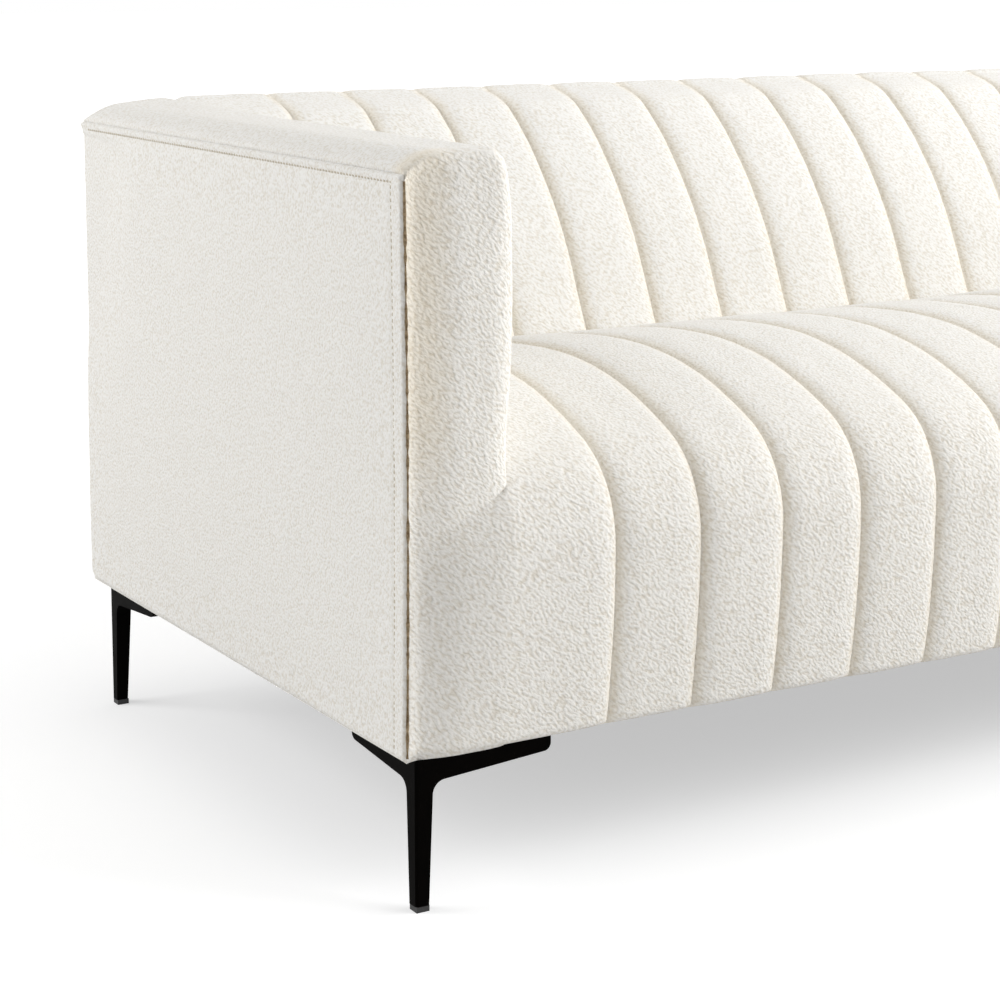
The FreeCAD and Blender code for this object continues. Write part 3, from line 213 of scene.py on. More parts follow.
CREVICE_STEP = 0.003
CREVICE_CORNERS = 8
CREVICE_WANDER = 0.9
CREVICE_WANDER_SIZE = 0.007
THREAD = 0.0013
BOTTOM_ROUND = 0.008
CORNER_TUCK = 0.008
REAR_ROUND = 0.002
REAR_WRAP = 0.013
REAR_WRAP_STAND = 0.0015
REAR_CORNER_RISE = 0.007
REAR_CORNER_WIDTH = 0.018
REAR_CORNER_HEIGHT = 0.05
BACK_STAND = 0.0025
BACK_EDGE_DROP = 0.002
BACK_CELL = 0.008
BACK_MARGIN = 0.012
BACK_LUMP_SIZE = 0.11
LUMP = 0.0007
LUMP_SIZE = 0.055
DIMPLE = 0.00035
DIMPLE_SIZE = 0.011

# Looped pile
# The pile colour paints shade: darker beige in the gaps between the nubs, ivory on their tops.
PILE_SHADE = (0.76, 0.72, 0.645)
PILE_LIGHT = (0.880, 0.866, 0.833)
# The warm tint of painted shade.
PAINTED_SHADE_TINT = (1.0, 0.955, 0.875, 1)
PILE_RELIEF = 0.0012
PILE_RELIEF_AHEAD = 0.0002
FINE_LOOP = 0.0028
COARSE_LOOP = 0.0036
COARSE_SLANT = 0.6
COARSE_LENGTH = 1.3
LOOP_GAP = 0.3
# How strongly forward-facing cloth is tinted warm, as painted shade.
FRONT_PAINTED_SHADE = 0.2
AHEAD_GAIN = -1.4
AHEAD_BLEND = 0.2
HOLLOW_SHADE_FROM = HALF - 1.1 * HOLLOW_WIDTH
HOLLOW_SHADE_FULL = HALF - HOLLOW_WIDTH / 2
HOLLOW_SHADE_REAR = FRONT + 0.03
HOLLOW_SHADE_AHEAD = FRONT + 0.012
HOLLOW_SHADE_RISE = 0.12

# Leg paint
LEG_DARK = (0.0008, 0.0006, 0.0004)
LEG_LIGHT = (0.0014, 0.0010, 0.0007)
LEG_ROUGHNESS = 0.36
LEG_ROUGHNESS_RANGE = 0.18

# View and light
CAMERA_PLACE = (-2.0945, -2.3256, 0.9149)
CAMERA_DOWN = 8.26
CAMERA_TURN = -30.83
CAMERA_LENS = 87.5
CAMERA_SHIFT = -0.2
LIGHT_TARGET = (0, 0, 0.45)
ROOM_LIGHT = 0.43
ROOM_SHOWN = 1.0
FLOOR_REACH = 30.0
FLOOR_COLOUR = (0.75, 0.75, 0.75, 1)
FLOOR_SHOWN = (0.65, 0.65, 0.65, 1)

# Hidden sheets
CLOTH_CELL = 0.012
CLOTH_MARGIN = 0.030
CLOTH_SLACK_WIDTH = 0.080
CLOTH_FOLD = 0.16
DUST_SAG = 0.004
FELT_SAG = 0.001
HESSIAN_DEPTH = 0.0255
HESSIAN_SLACK = 0.0005

# Numbers that start each noise
SEAT_SEWING, SEAT_SEAMS, SEAT_LUMPS = 3, 8, 20
BACK_SEWING, BACK_SEAMS, BACK_LUMPS = 5, 9, 30
ARM_LUMPS = 41
SIDE_LUMPS, SIDE_DIMPLES = 51, 52
REAR_LUMPS, REAR_DIMPLES = 61, 62
DUST_FOLDS, FELT_FOLDS, HESSIAN_FOLDS = 71, 73, 75
CREVICE_WIDTHS = 81


# Small tools

def fade(value):
    """0 to 1 with level ends."""
    held = np.clip(value, 0, 1)
    return held * held * (3 - 2 * held)


def quarter(distance, width):
    """How far a quarter ellipse has dropped at a distance from its edge, as a share."""
    share = np.clip(1 - np.asarray(distance) / width, 0, 1)
    return 1 - np.sqrt(1 - share ** 2)


def arc(centre, radius, start, end, step=CELL):
    """Points and outward normals along an arc in the (Y, Z) plane, angles in degrees."""
    count = max(3, round(abs(math.radians(end - start)) * radius / step) + 1)
    angles = np.radians(np.linspace(start, end, count))
    normals = np.column_stack((np.cos(angles), np.sin(angles)))
    return np.asarray(centre) + radius * normals, normals


def line(start, end, normal):
    """Points along a straight stretch, all with one normal."""
    start, end = np.asarray(start), np.asarray(end)
    count = max(2, round(np.linalg.norm(end - start) / CELL) + 1)
    points = start + np.linspace(0, 1, count)[:, None] * (end - start)
    return points, np.tile(np.asarray(normal, float), (count, 1))


def join(*stretches):
    """One path from stretches that follow each other."""
    points, normals = stretches[0]
    for more_points, more_normals in stretches[1:]:
        points = np.vstack((points, more_points[1:]))
        normals = np.vstack((normals, more_normals[1:]))
    return points, normals


def ripple(points, size, seed):
    """Smooth noise from -1 to 1 at each point, for bumps of this size."""
    shift = Vector((seed * 7.3, seed * 3.1, seed * 5.7))
    values = [noise.noise(Vector(point) / size + shift) for point in points.reshape(-1, 3)]
    return np.array(values).reshape(points.shape[:-1])


def front_hollow(from_side):
    """How far the front sinks beside the outer seam: a small lip, then a shallow hollow."""
    hollow = HOLLOW_DEPTH * (1 - fade(from_side / HOLLOW_WIDTH))
    return hollow - LIP_RISE * (1 - fade(from_side / LIP_WIDTH))


def grid_normals(points):
    """Unit normals of a grid of points."""
    along = np.gradient(points, axis=0)
    across = np.gradient(points, axis=1)
    normals = np.cross(across, along)
    length = np.linalg.norm(normals, axis=2, keepdims=True)
    return normals / np.maximum(length, 1e-9)


def soften(points, outward, weight, seed):
    """Push a grid in and out a little, as foam under a cover does."""
    lumps = LUMP * ripple(points, LUMP_SIZE, seed) + DIMPLE * ripple(points, DIMPLE_SIZE, seed + 1)
    return points + outward * (weight * lumps)[..., None]


def sided(name, side):
    """A name with the side it is on."""
    return f"{name}_{'left' if side < 0 else 'right'}"


def add_piece(name, mesh, material):
    """An object of this mesh and material that rides on the body."""
    piece = bpy.data.objects.new(name, mesh)
    bpy.context.scene.collection.objects.link(piece)
    mesh.materials.append(material)
    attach(piece, BODY)
    return piece


class Shell:
    """Collects grids and flat faces that share corners, and makes one mesh of them."""

    def __init__(self):
        self.points = []
        self.faces = []
        self.flat = []

    def add_points(self, points):
        """Add points and return their numbers in the same layout."""
        first = sum(len(block) for block in self.points)
        flat = points.reshape(-1, 3)
        self.points.append(flat)
        return np.arange(first, first + len(flat)).reshape(points.shape[:-1])

    def add_grid(self, index, closed=False):
        """Add the four-sided faces of a grid of point numbers."""
        rows = np.vstack((index, index[:1])) if closed else index
        corners = (rows[:-1, :-1], rows[:-1, 1:], rows[1:, 1:], rows[1:, :-1])
        quads = np.stack(corners, axis=-1).reshape(-1, 4)
        self.faces.extend(quads.tolist())

    def add_cap(self, loop):
        """Add one flat face around a loop of point numbers."""
        self.faces.append([int(number) for number in loop])
        self.flat.append(len(self.faces) - 1)

    def build(self, name, material):
        """Make the mesh and its object."""
        mesh = bpy.data.meshes.new(name)
        mesh.from_pydata(np.vstack(self.points).tolist(), [], self.faces)
        smooth = np.ones(len(self.faces), bool)
        smooth[self.flat] = False
        mesh.polygons.foreach_set("use_smooth", smooth)
        work = bmesh.new()
        work.from_mesh(mesh)
        bmesh.ops.remove_doubles(work, verts=work.verts, dist=1e-6)
        bmesh.ops.recalc_face_normals(work, faces=work.faces)
        work.to_mesh(mesh)
        work.free()
        return add_piece(name, mesh, material)


# Materials

def new_material(name):
    """A plain material, with its tree, its shader and the place in metres."""
    material = bpy.data.materials.new(name)
    material.use_nodes = True
    tree = material.node_tree
    place = tree.nodes.new("ShaderNodeTexCoord").outputs["Object"]
    return material, tree, tree.nodes["Principled BSDF"], place


def node(tree, kind, **values):
    """Add a node. A value whose name is an input goes to that input."""
    made = tree.nodes.new(kind)
    for name, value in values.items():
        if hasattr(made, name):
            setattr(made, name, value)
        else:
            made.inputs[name.replace("_", " ")].default_value = value
    return made


def ramp(tree, factor, *stops):
    """A colour ramp between two (place, colour) stops."""
    made = tree.nodes.new("ShaderNodeValToRGB")
    for element, (place, colour) in zip(made.color_ramp.elements, stops):
        element.position = place
        element.color = (*colour, 1)
    tree.links.new(factor, made.inputs["Fac"])
    return made.outputs["Color"]


def math_node(tree, operation, first, second):
    """A calculation on two numbers or sockets."""
    made = tree.nodes.new("ShaderNodeMath")
    made.operation = operation
    for socket, value in zip(made.inputs, (first, second)):
        if isinstance(value, (int, float)):
            socket.default_value = value
        else:
            tree.links.new(value, socket)
    return made.outputs[0]


def multiply_add(tree, value, factor, added):
    """A socket times a factor, plus a number."""
    made = math_node(tree, "MULTIPLY_ADD", value, factor)
    made.node.inputs[2].default_value = added
    return made


def parts(tree, vector):
    """The X, Y and Z of a vector."""
    made = tree.nodes.new("ShaderNodeSeparateXYZ")
    tree.links.new(vector, made.inputs[0])
    return made.outputs


def cloudy(tree, place, **values):
    """The height of a noise texture."""
    made = node(tree, "ShaderNodeTexNoise", **values)
    tree.links.new(place, made.inputs["Vector"])
    return made.outputs["Fac"]


def between(tree, value, start, end):
    """0 at the start to 1 at the end, held beyond them."""
    made = node(tree, "ShaderNodeMapRange", From_Min=start, From_Max=end)
    tree.links.new(value, made.inputs["Value"])
    return made.outputs[0]


def bump(tree, shader, height, distance):
    """Roughen the surface by a height, over a distance that is a number or a socket."""
    made = node(tree, "ShaderNodeBump", Strength=1.0)
    if isinstance(distance, float):
        made.inputs["Distance"].default_value = distance
    else:
        tree.links.new(distance, made.inputs["Distance"])
    tree.links.new(height, made.inputs["Height"])
    tree.links.new(made.outputs["Normal"], shader.inputs["Normal"])


def loops_height(tree, place, size, turn=0.0, length=1.0):
    """Height of the pile: nubs of about this size, drawn out along a slanted direction,
    with gaps between them."""
    slanted = node(
        tree, "ShaderNodeMapping", vector_type="TEXTURE", Rotation=(0, turn, 0),
        Scale=(length, 1, 1 / length))
    tree.links.new(place, slanted.inputs["Vector"])
    place = slanted.outputs[0]
    nubs = node(
        tree, "ShaderNodeTexNoise", Scale=1 / size, Detail=0.5, Roughness=0.55, Distortion=0.25)
    tree.links.new(place, nubs.inputs["Vector"])
    bent = node(tree, "ShaderNodeVectorMath", operation="MULTIPLY_ADD")
    bent.inputs[1].default_value = (size, size, size)
    tree.links.new(nubs.outputs["Color"], bent.inputs[0])
    tree.links.new(place, bent.inputs[2])
    loops = node(tree, "ShaderNodeTexVoronoi", feature="F1", Scale=0.9 / size)
    tree.links.new(bent.outputs[0], loops.inputs["Vector"])
    gaps = math_node(tree, "MULTIPLY", loops.outputs["Distance"], LOOP_GAP)
    return math_node(tree, "SUBTRACT", nubs.outputs["Fac"], gaps)


def seam_shade(tree, place):
    """Where shade is painted warm: 1 at the seams between the equal channels, fading to 0 beside them."""
    across = parts(tree, place)["X"]
    from_seam = math_node(tree, "PINGPONG", multiply_add(tree, across, 1 / PITCH, CHANNELS), 0.5)
    near = between(tree, from_seam, SEAM_SHADE_WIDTH / PITCH, 0.0)
    from_middle = math_node(tree, "ABSOLUTE", across, 0.0)
    inside = math_node(tree, "LESS_THAN", from_middle, MIDDLE_HALF + SEAM_SHADE_WIDTH)
    return math_node(tree, "MULTIPLY", near, inside)


def hollow_shade(tree, place):
    """Where shade is painted warm: 1 at the outer edge of an arm front, fading to 0 over the
    hollow beside it and toward the seat corner below."""
    here = parts(tree, place)
    from_middle = math_node(tree, "ABSOLUTE", here["X"], 0.0)
    near = between(tree, from_middle, HOLLOW_SHADE_FROM, HOLLOW_SHADE_FULL)
    ahead = between(tree, here["Y"], HOLLOW_SHADE_REAR, HOLLOW_SHADE_AHEAD)
    above = between(tree, here["Z"], CREASE_OUTER, CREASE_OUTER + HOLLOW_SHADE_RISE)
    return math_node(tree, "MULTIPLY", math_node(tree, "MULTIPLY", near, ahead), above)


def boucle_material(name, relief, front_painted_shade, shade=None):
    """Ivory looped pile with painted beige shade between its nubs, fine on the plain sides and
    coarser where the cloth faces forward. It is tinted warm as painted shade where it faces
    forward and where shade says so."""
    material, tree, shader, place = new_material(name)
    links = tree.links
    facing = parts(tree, tree.nodes.new("ShaderNodeNewGeometry").outputs["Normal"])
    turned = math_node(tree, "MULTIPLY", facing["Y"], AHEAD_GAIN)
    forward = math_node(tree, "SMOOTH_MIN", turned, 1.0)
    forward.node.inputs[2].default_value = AHEAD_BLEND
    ahead = math_node(tree, "MAXIMUM", forward, 0.0)
    heights = node(tree, "ShaderNodeMix")
    links.new(ahead, heights.inputs[0])
    links.new(loops_height(tree, place, FINE_LOOP), heights.inputs[2])
    coarse = loops_height(tree, place, COARSE_LOOP, COARSE_SLANT, COARSE_LENGTH)
    links.new(coarse, heights.inputs[3])
    height = heights.outputs[0]
    bump(tree, shader, height, multiply_add(tree, ahead, PILE_RELIEF_AHEAD * relief, PILE_RELIEF * relief))
    # Painted shade: the low parts of the pile are coloured darker beige.
    pile = ramp(tree, height, (0.10, PILE_SHADE), (0.42, PILE_LIGHT))
    # Painted warm shade: cloth that faces forward, and places the shade mask picks, are tinted warm.
    painted_shade_amount = math_node(tree, "MULTIPLY", ahead, front_painted_shade)
    if shade is not None:
        painted_shade_amount = math_node(tree, "MAXIMUM", painted_shade_amount, shade(tree, place))
    painted_warm_shade = node(tree, "ShaderNodeMix", data_type="RGBA", blend_type="MULTIPLY")
    links.new(painted_shade_amount, painted_warm_shade.inputs[0])
    links.new(pile, painted_warm_shade.inputs[6])
    painted_warm_shade.inputs[7].default_value = PAINTED_SHADE_TINT
    links.new(painted_warm_shade.outputs[2], shader.inputs["Base Color"])
    shader.inputs["Roughness"].default_value = 0.95
    shader.inputs["Specular IOR Level"].default_value = 0.15
    shader.inputs["Sheen Weight"].default_value = 0.08
    shader.inputs["Sheen Roughness"].default_value = 0.6
    return material


def grained_material(name, dark, light, scale, stretch, roughness, depth):
    """Wood or board: streaks of two colours along one direction."""
    material, tree, shader, place = new_material(name)
    turned = node(tree, "ShaderNodeMapping", Scale=stretch)
    tree.links.new(place, turned.inputs["Vector"])
    grain = cloudy(tree, turned.outputs[0], Scale=scale, Detail=6.0, Distortion=1.2)
    colour = ramp(tree, grain, (0.3, dark), (0.7, light))
    tree.links.new(colour, shader.inputs["Base Color"])
    shader.inputs["Roughness"].default_value = roughness
    bump(tree, shader, grain, depth)
    return material


def speckled_material(name, dark, light, scale, roughness, depth, metallic=0.0):
    """A fine irregular surface, for felt, foam, wadding, plastic and metal."""
    material, tree, shader, place = new_material(name)
    specks = cloudy(tree, place, Scale=scale, Detail=5.0, Roughness=0.65)
    colour = ramp(tree, specks, (0.35, dark), (0.65, light))
    tree.links.new(colour, shader.inputs["Base Color"])
    shader.inputs["Roughness"].default_value = roughness
    shader.inputs["Metallic"].default_value = metallic
    bump(tree, shader, specks, depth)
    return material


def woven_material(name, dark, light, pitch):
    """A plain weave, from two crossing sets of waves."""
    material, tree, shader, place = new_material(name)
    sets = []
    for direction in ("X", "Z"):
        wave = node(tree, "ShaderNodeTexWave", Scale=1 / pitch / math.tau, Distortion=0.6)
        wave.bands_direction = direction
        tree.links.new(place, wave.inputs["Vector"])
        sets.append(wave.outputs["Fac"])
    height = math_node(tree, "MAXIMUM", *sets)
    tree.links.new(ramp(tree, height, (0.1, dark), (0.8, light)), shader.inputs["Base Color"])
    shader.inputs["Roughness"].default_value = 0.9
    bump(tree, shader, height, 0.0006)
    return material


def leg_material():
    """Satin near-black bronze paint, a little uneven."""
    material, tree, shader, place = new_material("leg_metal")
    cloud = cloudy(tree, place, Scale=60.0, Detail=4.0)
    colour = ramp(tree, cloud, (0.35, LEG_DARK), (0.7, LEG_LIGHT))
    tree.links.new(colour, shader.inputs["Base Color"])
    rough = multiply_add(tree, cloud, LEG_ROUGHNESS_RANGE, LEG_ROUGHNESS)
    tree.links.new(rough, shader.inputs["Roughness"])
    shader.inputs["Specular IOR Level"].default_value = 0.012
    bump(tree, shader, cloudy(tree, place, Scale=900.0, Detail=2.0), 0.00008)
    return material


# Channelled surfaces

def crowded(count, even):
    """Shares from 0 to 1, closer together near both ends the lower even is."""
    spread = np.linspace(0, 1, count + 1)
    return even * spread + (1 - even) / 2 * (1 - np.cos(np.pi * spread))


def channel_columns():
    """Places across the equal channels, closer together near the seams."""
    share = crowded(CHANNEL_CELLS, CHANNEL_EVEN)
    across = [-MIDDLE_HALF + PITCH * (channel + share[:-1]) for channel in range(CHANNELS)]
    return np.concatenate([*across, [MIDDLE_HALF]])


def crown(share):
    """Height of a channel at a share of its width, from seam to seam."""
    from_middle = np.abs(2 * share - 1)
    return np.clip(1 - from_middle ** PROFILE_POWER, 0, 1) ** PROFILE_ROOT


def channel_lift(across):
    """Lift of the equal channels at these places as a share of the crown, and the number
    of the channel each place is in."""
    place = (across + MIDDLE_HALF) / PITCH
    share = place - np.floor(place + 1e-6)
    return crown(np.clip(share, 0, 1)), np.floor(place + 1e-6)


def end_columns(stop):
    """Places from the last equal channel to the arm, on the right."""
    share = crowded(round((stop - MIDDLE_HALF) / CELL), END_EVEN)
    return MIDDLE_HALF + (stop - MIDDLE_HALF) * share[1:]


def seat_path():
    """The seam line of the seat from under the front to the rear end."""
    nose_y = FRONT - BULGE + NOSE
    gap = TOP - NOSE
    turn = math.asin((APEX_Y - nose_y) / gap)
    nose_z = APEX_Z - TOP + gap * math.cos(turn)
    face_y = FRONT - BULGE + FACE
    fall = math.asin((nose_z - UNDER - HEM) / (FACE - HEM))
    hem_y = face_y - (FACE - HEM) * math.cos(fall)
    end_turn = math.degrees(math.asin((SEAT_END - APEX_Y) / TAIL))
    path = join(
        line((FRAME_FRONT, UNDER), (hem_y, UNDER), (0, -1)),
        arc((hem_y, UNDER + HEM), HEM, 270, 180 + math.degrees(fall), HEM_STEP),
        arc((face_y, nose_z), FACE, 180 + math.degrees(fall), 180),
        arc((nose_y, nose_z), NOSE, 180, 90 + math.degrees(turn)),
        arc((APEX_Y, APEX_Z - TOP), TOP, 90 + math.degrees(turn), 90),
        arc((APEX_Y, APEX_Z - TAIL), TAIL, 90, 90 - end_turn),
    )
    return path, nose_z


def sewn_lift(across, base, seed):
    """Lift of a channelled cover at each row and column, with slightly uneven sewing."""
    share, channel = channel_lift(across)
    rng = np.random.default_rng(seed)
    own = np.clip(channel.astype(int), -1, CHANNELS) + 1
    uneven = rng.normal(0, CROWN_WANDER, CHANNELS + 4)[own]
    lift = share[None, :] * (CROWN + VALLEY + uneven[None, :]) - VALLEY
    pucker = ripple(base, PUCKER_SIZE, seed) * PUCKER
    near_seam = np.clip(1 - share, 0, 1)[None, :] ** 2
    return lift + pucker * near_seam


def lifted(path, across, lift):
    """A grid of points: the path carried across the sofa and moved outward by lift."""
    points, normals = path
    base = np.empty((len(points), len(across), 3))
    base[..., 0] = across[None, :]
    base[..., 1] = points[:, 0:1] + normals[:, 0:1] * lift
    base[..., 2] = points[:, 1:2] + normals[:, 1:2] * lift
    return base


def path_outward(normals, surface):
    """The normals of a path, repeated across a grid."""
    outward = np.zeros_like(surface)
    outward[..., 1] = normals[:, 0:1]
    outward[..., 2] = normals[:, 1:2]
    return outward


def seam_wander(flat, across, seed):
    """How far the seams stray sideways, nothing at the ends."""
    wander = SEAM_WANDER * ripple(flat * SEAM_WANDER_SHAPE, SEAM_WANDER_SIZE, seed)
    return wander * fade((MIDDLE_HALF - np.abs(across)) / SEAM_WANDER_FADE)[None, :]


def whole_width(stop):
    """All columns from the left arm to the right arm."""
    ends = end_columns(stop)
    return np.concatenate((-ends[::-1], channel_columns(), ends))


def make_seat(material):
    """The seat: channels from under the front to the back, running on to the outer
    corners below the arm fronts."""
    path, nose_z = seat_path()
    points, normals = path
    across = whole_width(SEAT_HALF)
    flat = lifted(path, across, np.zeros((len(points), len(across))))
    lift = sewn_lift(across, flat, SEAT_SEWING)
    outside = np.abs(across) - MIDDLE_HALF
    shoulder = crown(np.clip(outside / PITCH, 0, 0.5))
    in_end = outside > 0
    lift[:, in_end] = shoulder[None, in_end] * (CROWN + VALLEY) - VALLEY
    under = np.clip(-normals[:, 1:2], 0, 1)
    level = fade((normals[:, 1:2] - SEAT_LEVEL_FROM) / SEAT_LEVEL_BLEND)
    lift = lift * (1 - under) * (1 - (1 - SEAT_TOP_SHARE) * level)
    inside_arm = fade((points[:, 0:1] - FRONT - SEAT_TUCK_START) / SEAT_TUCK_LENGTH)
    tuck = quarter(SEAT_HALF - np.abs(across), SEAT_TUCK_WIDTH)[None, :] * SEAT_TUCK
    lift = lift - tuck * inside_arm
    surface = lifted(path, across, lift)
    surface[..., 0] += seam_wander(flat, across, SEAT_SEAMS)
    outward = path_outward(normals, surface)
    surface = soften(surface, outward, (1 - under) * np.ones_like(lift), SEAT_LUMPS)

    shell = Shell()
    index = shell.add_points(surface)
    inner = [(SEAT_END, SEAT_FLOOR), (FRAME_FRONT, SEAT_FLOOR)]
    back = np.array([[(x, y, z) for x in across] for y, z in inner])
    ring = np.vstack((index, shell.add_points(back)))
    shell.add_grid(ring, closed=True)

    beyond = (surface[:, 0, 1] > FRONT + CREASE_AHEAD) & (points[:, 1] > nose_z)
    crease = int(np.argmax(beyond))
    for side, column in ((-1, 0), (1, -1)):
        edge = surface[:crease + 1, column]
        extra = make_corner(edge, side)
        joined = np.column_stack((index[:crease + 1, column], shell.add_points(extra)))
        shell.add_grid(joined)
        shell.add_grid(joined[[crease, 0]])
        shell.add_cap(joined[:, -1])
        shell.add_cap(ring[crease:, column].tolist() + [ring[0, column]])
    return shell.build("seat_upholstery", material)


def make_corner(edge, side):
    """The seat front from the arm's inner edge to the outer corner, fading out upward."""
    count = round(ARM_WIDTH / CELL)
    share = np.linspace(0, 1, count + 1)[1:]
    top = edge[-1, 2]
    level = (edge[:, 2] - UNDER) / (top - UNDER)
    grid = np.empty((len(edge), count, 3))
    grid[..., 0] = side * (SEAT_HALF + share * (ARM_WIDTH - CORNER_GAP))[None, :]
    reach = top + (CREASE_OUTER - top) * share
    grid[..., 2] = UNDER + level[:, None] * (reach - UNDER)[None, :]
    mix = fade(share)[None, :]
    front = FRONT - PAD_OUTER * np.sin(np.pi * np.clip(level, 0, 1))[:, None]
    front = front + quarter(np.clip(level, 0, 1) * CORNER_RISE, HEM)[:, None] * HEM
    grid[..., 1] = edge[:, 1:2] * (1 - mix) + front * mix
    grid[..., 1] += front_hollow(ARM_WIDTH * (1 - share))[None, :]
    tucked = fade((level - (1 - CREASE_TUCK_SHARE)) / CREASE_TUCK_SHARE)
    grid[..., 1] += CREASE_TUCK * tucked[:, None] * mix
    return grid


def back_path():
    """The seam line of the back from its hidden lower edge to the rear seam."""
    foot_sin, foot_cos = math.sin(math.radians(FOOT_LEAN)), math.cos(math.radians(FOOT_LEAN))
    top_sin, top_cos = math.sin(math.radians(TOP_LEAN)), math.cos(math.radians(TOP_LEAN))
    rise = BACK_TOP - FOOT_Z - BEND * foot_cos - FLAT * foot_sin - BACK_EDGE * (1 - top_cos)
    radius = rise / (top_cos - foot_cos)
    bend_y = FOOT_Y + BEND
    start = (bend_y - BEND * foot_sin, FOOT_Z + BEND * foot_cos)
    end = (start[0] + FLAT * foot_cos, start[1] + FLAT * foot_sin)
    face = (end[0] + radius * foot_sin, end[1] - radius * foot_cos)
    crown_y = face[0] - (radius - BACK_EDGE) * top_sin
    rear = BACK_TOP - SEAM_TOP
    return join(
        line((FOOT_Y, TUCK_Z), (FOOT_Y, FOOT_Z), (-1, 0)),
        arc((bend_y, FOOT_Z), BEND, 180, 90 + FOOT_LEAN),
        line(start, end, (-foot_sin, foot_cos)),
        arc(face, radius, 90 + FOOT_LEAN, 90 + TOP_LEAN),
        arc((crown_y, BACK_TOP - BACK_EDGE), BACK_EDGE, 90 + TOP_LEAN, 90),
        arc((crown_y, SEAM_TOP), rear, 90, 0, REAR_STEP),
    )


def make_back(material):
    """The back: channels from behind the seat up and over the top to the rear seam."""
    path = back_path()
    points, normals = path
    across = whole_width(SEAT_HALF)
    flat = lifted(path, across, np.zeros((len(points), len(across))))
    lift = sewn_lift(across, flat, BACK_SEWING)
    outside = np.abs(across) - MIDDLE_HALF
    in_end = outside > 0
    shoulder = crown(np.clip(outside / END_WIDTH, 0, 1))
    lift[:, in_end] = shoulder[None, in_end] * (CROWN + VALLEY) - VALLEY
    above_seam = np.clip((points[:, 1:2] - SEAM_TOP) / REAR_SEAM_HEIGHT, 0, 1)
    behind = points[:, 0:1] > REAR - REAR_SEAM_REACH
    level = fade((normals[:, 1:2] - BACK_LEVEL_FROM) / BACK_LEVEL_BLEND)
    at_seam = REAR_SEAM_SHARE + (1 - REAR_SEAM_SHARE) * np.sqrt(above_seam)
    closing = BACK_SHARE - (BACK_SHARE - TOP_CROWN_SHARE) * level
    closing = closing * np.where(behind, at_seam, 1.0)
    surface = lifted(path, across, lift * closing - TOP_SETTLE * level * (1 - behind))
    surface[..., 0] += seam_wander(flat, across, BACK_SEAMS)
    outward = path_outward(normals, surface)
    surface = soften(surface, outward, np.ones_like(lift), BACK_LUMPS)

    shell = Shell()
    index = shell.add_points(surface)
    rear_y = REAR - BACK_INNER_GAP
    inner = [
        (rear_y, SEAM_TOP - SEAM_ROLL),
        (rear_y - BACK_INNER_DROP, SEAM_TOP - BACK_INNER_DROP),
        (FOOT_Y + BACK_INNER_FOOT, TUCK_Z),
    ]
    back = np.array([[(x, y, z) for x in across] for y, z in inner])
    ring = np.vstack((index, shell.add_points(back)))
    shell.add_grid(ring, closed=True)
    for column in (0, -1):
        shell.add_cap(ring[:, column])
    return shell.build("back_upholstery", material)


# Arms

def arm_section():
    """Corner points of the arm across its top, from the outer seam to the inner edge, as
    distance from the outer side and height."""
    widths = np.concatenate((
        np.linspace(0, ARM_ROUND_WIDTH, ARM_ROUND_COLUMNS)[:-1],
        np.linspace(ARM_ROUND_WIDTH, ARM_WIDTH - ARM_EDGE, ARM_FLAT_COLUMNS)[:-1],
        ARM_WIDTH - ARM_EDGE + ARM_EDGE * np.sin(np.linspace(0, math.pi / 2, ARM_EDGE_COLUMNS)),
    ))
    ahead = np.clip(ARM_ROUND_WIDTH - widths, 0, None)
    tops = ARM_TOP - ARM_ROUND_RADIUS + np.sqrt(ARM_ROUND_RADIUS ** 2 - ahead ** 2)
    tops -= ARM_EDGE * quarter(ARM_WIDTH - widths, ARM_EDGE)
    return widths, tops


def arm_heights():
    """Heights down the inner face, fine where it shows and coarse behind the seat."""
    shown = np.arange(ARM_TOP - ARM_EDGE, ARM_SHOWN_FOOT, -CELL)[1:]
    return np.concatenate((shown, np.linspace(ARM_SHOWN_FOOT, UNDER, ARM_HIDDEN_ROWS)))


def arm_belly(heights):
    """How far the inner face of the arm bulges out at these heights."""
    foot = fade((heights - ARM_CROWN_FOOT) / ARM_CROWN_RISE)
    head = 1 - quarter(ARM_TOP - ARM_EDGE / 2 - heights, ARM_CROWN_HEAD)
    return ARM_CROWN * foot * head


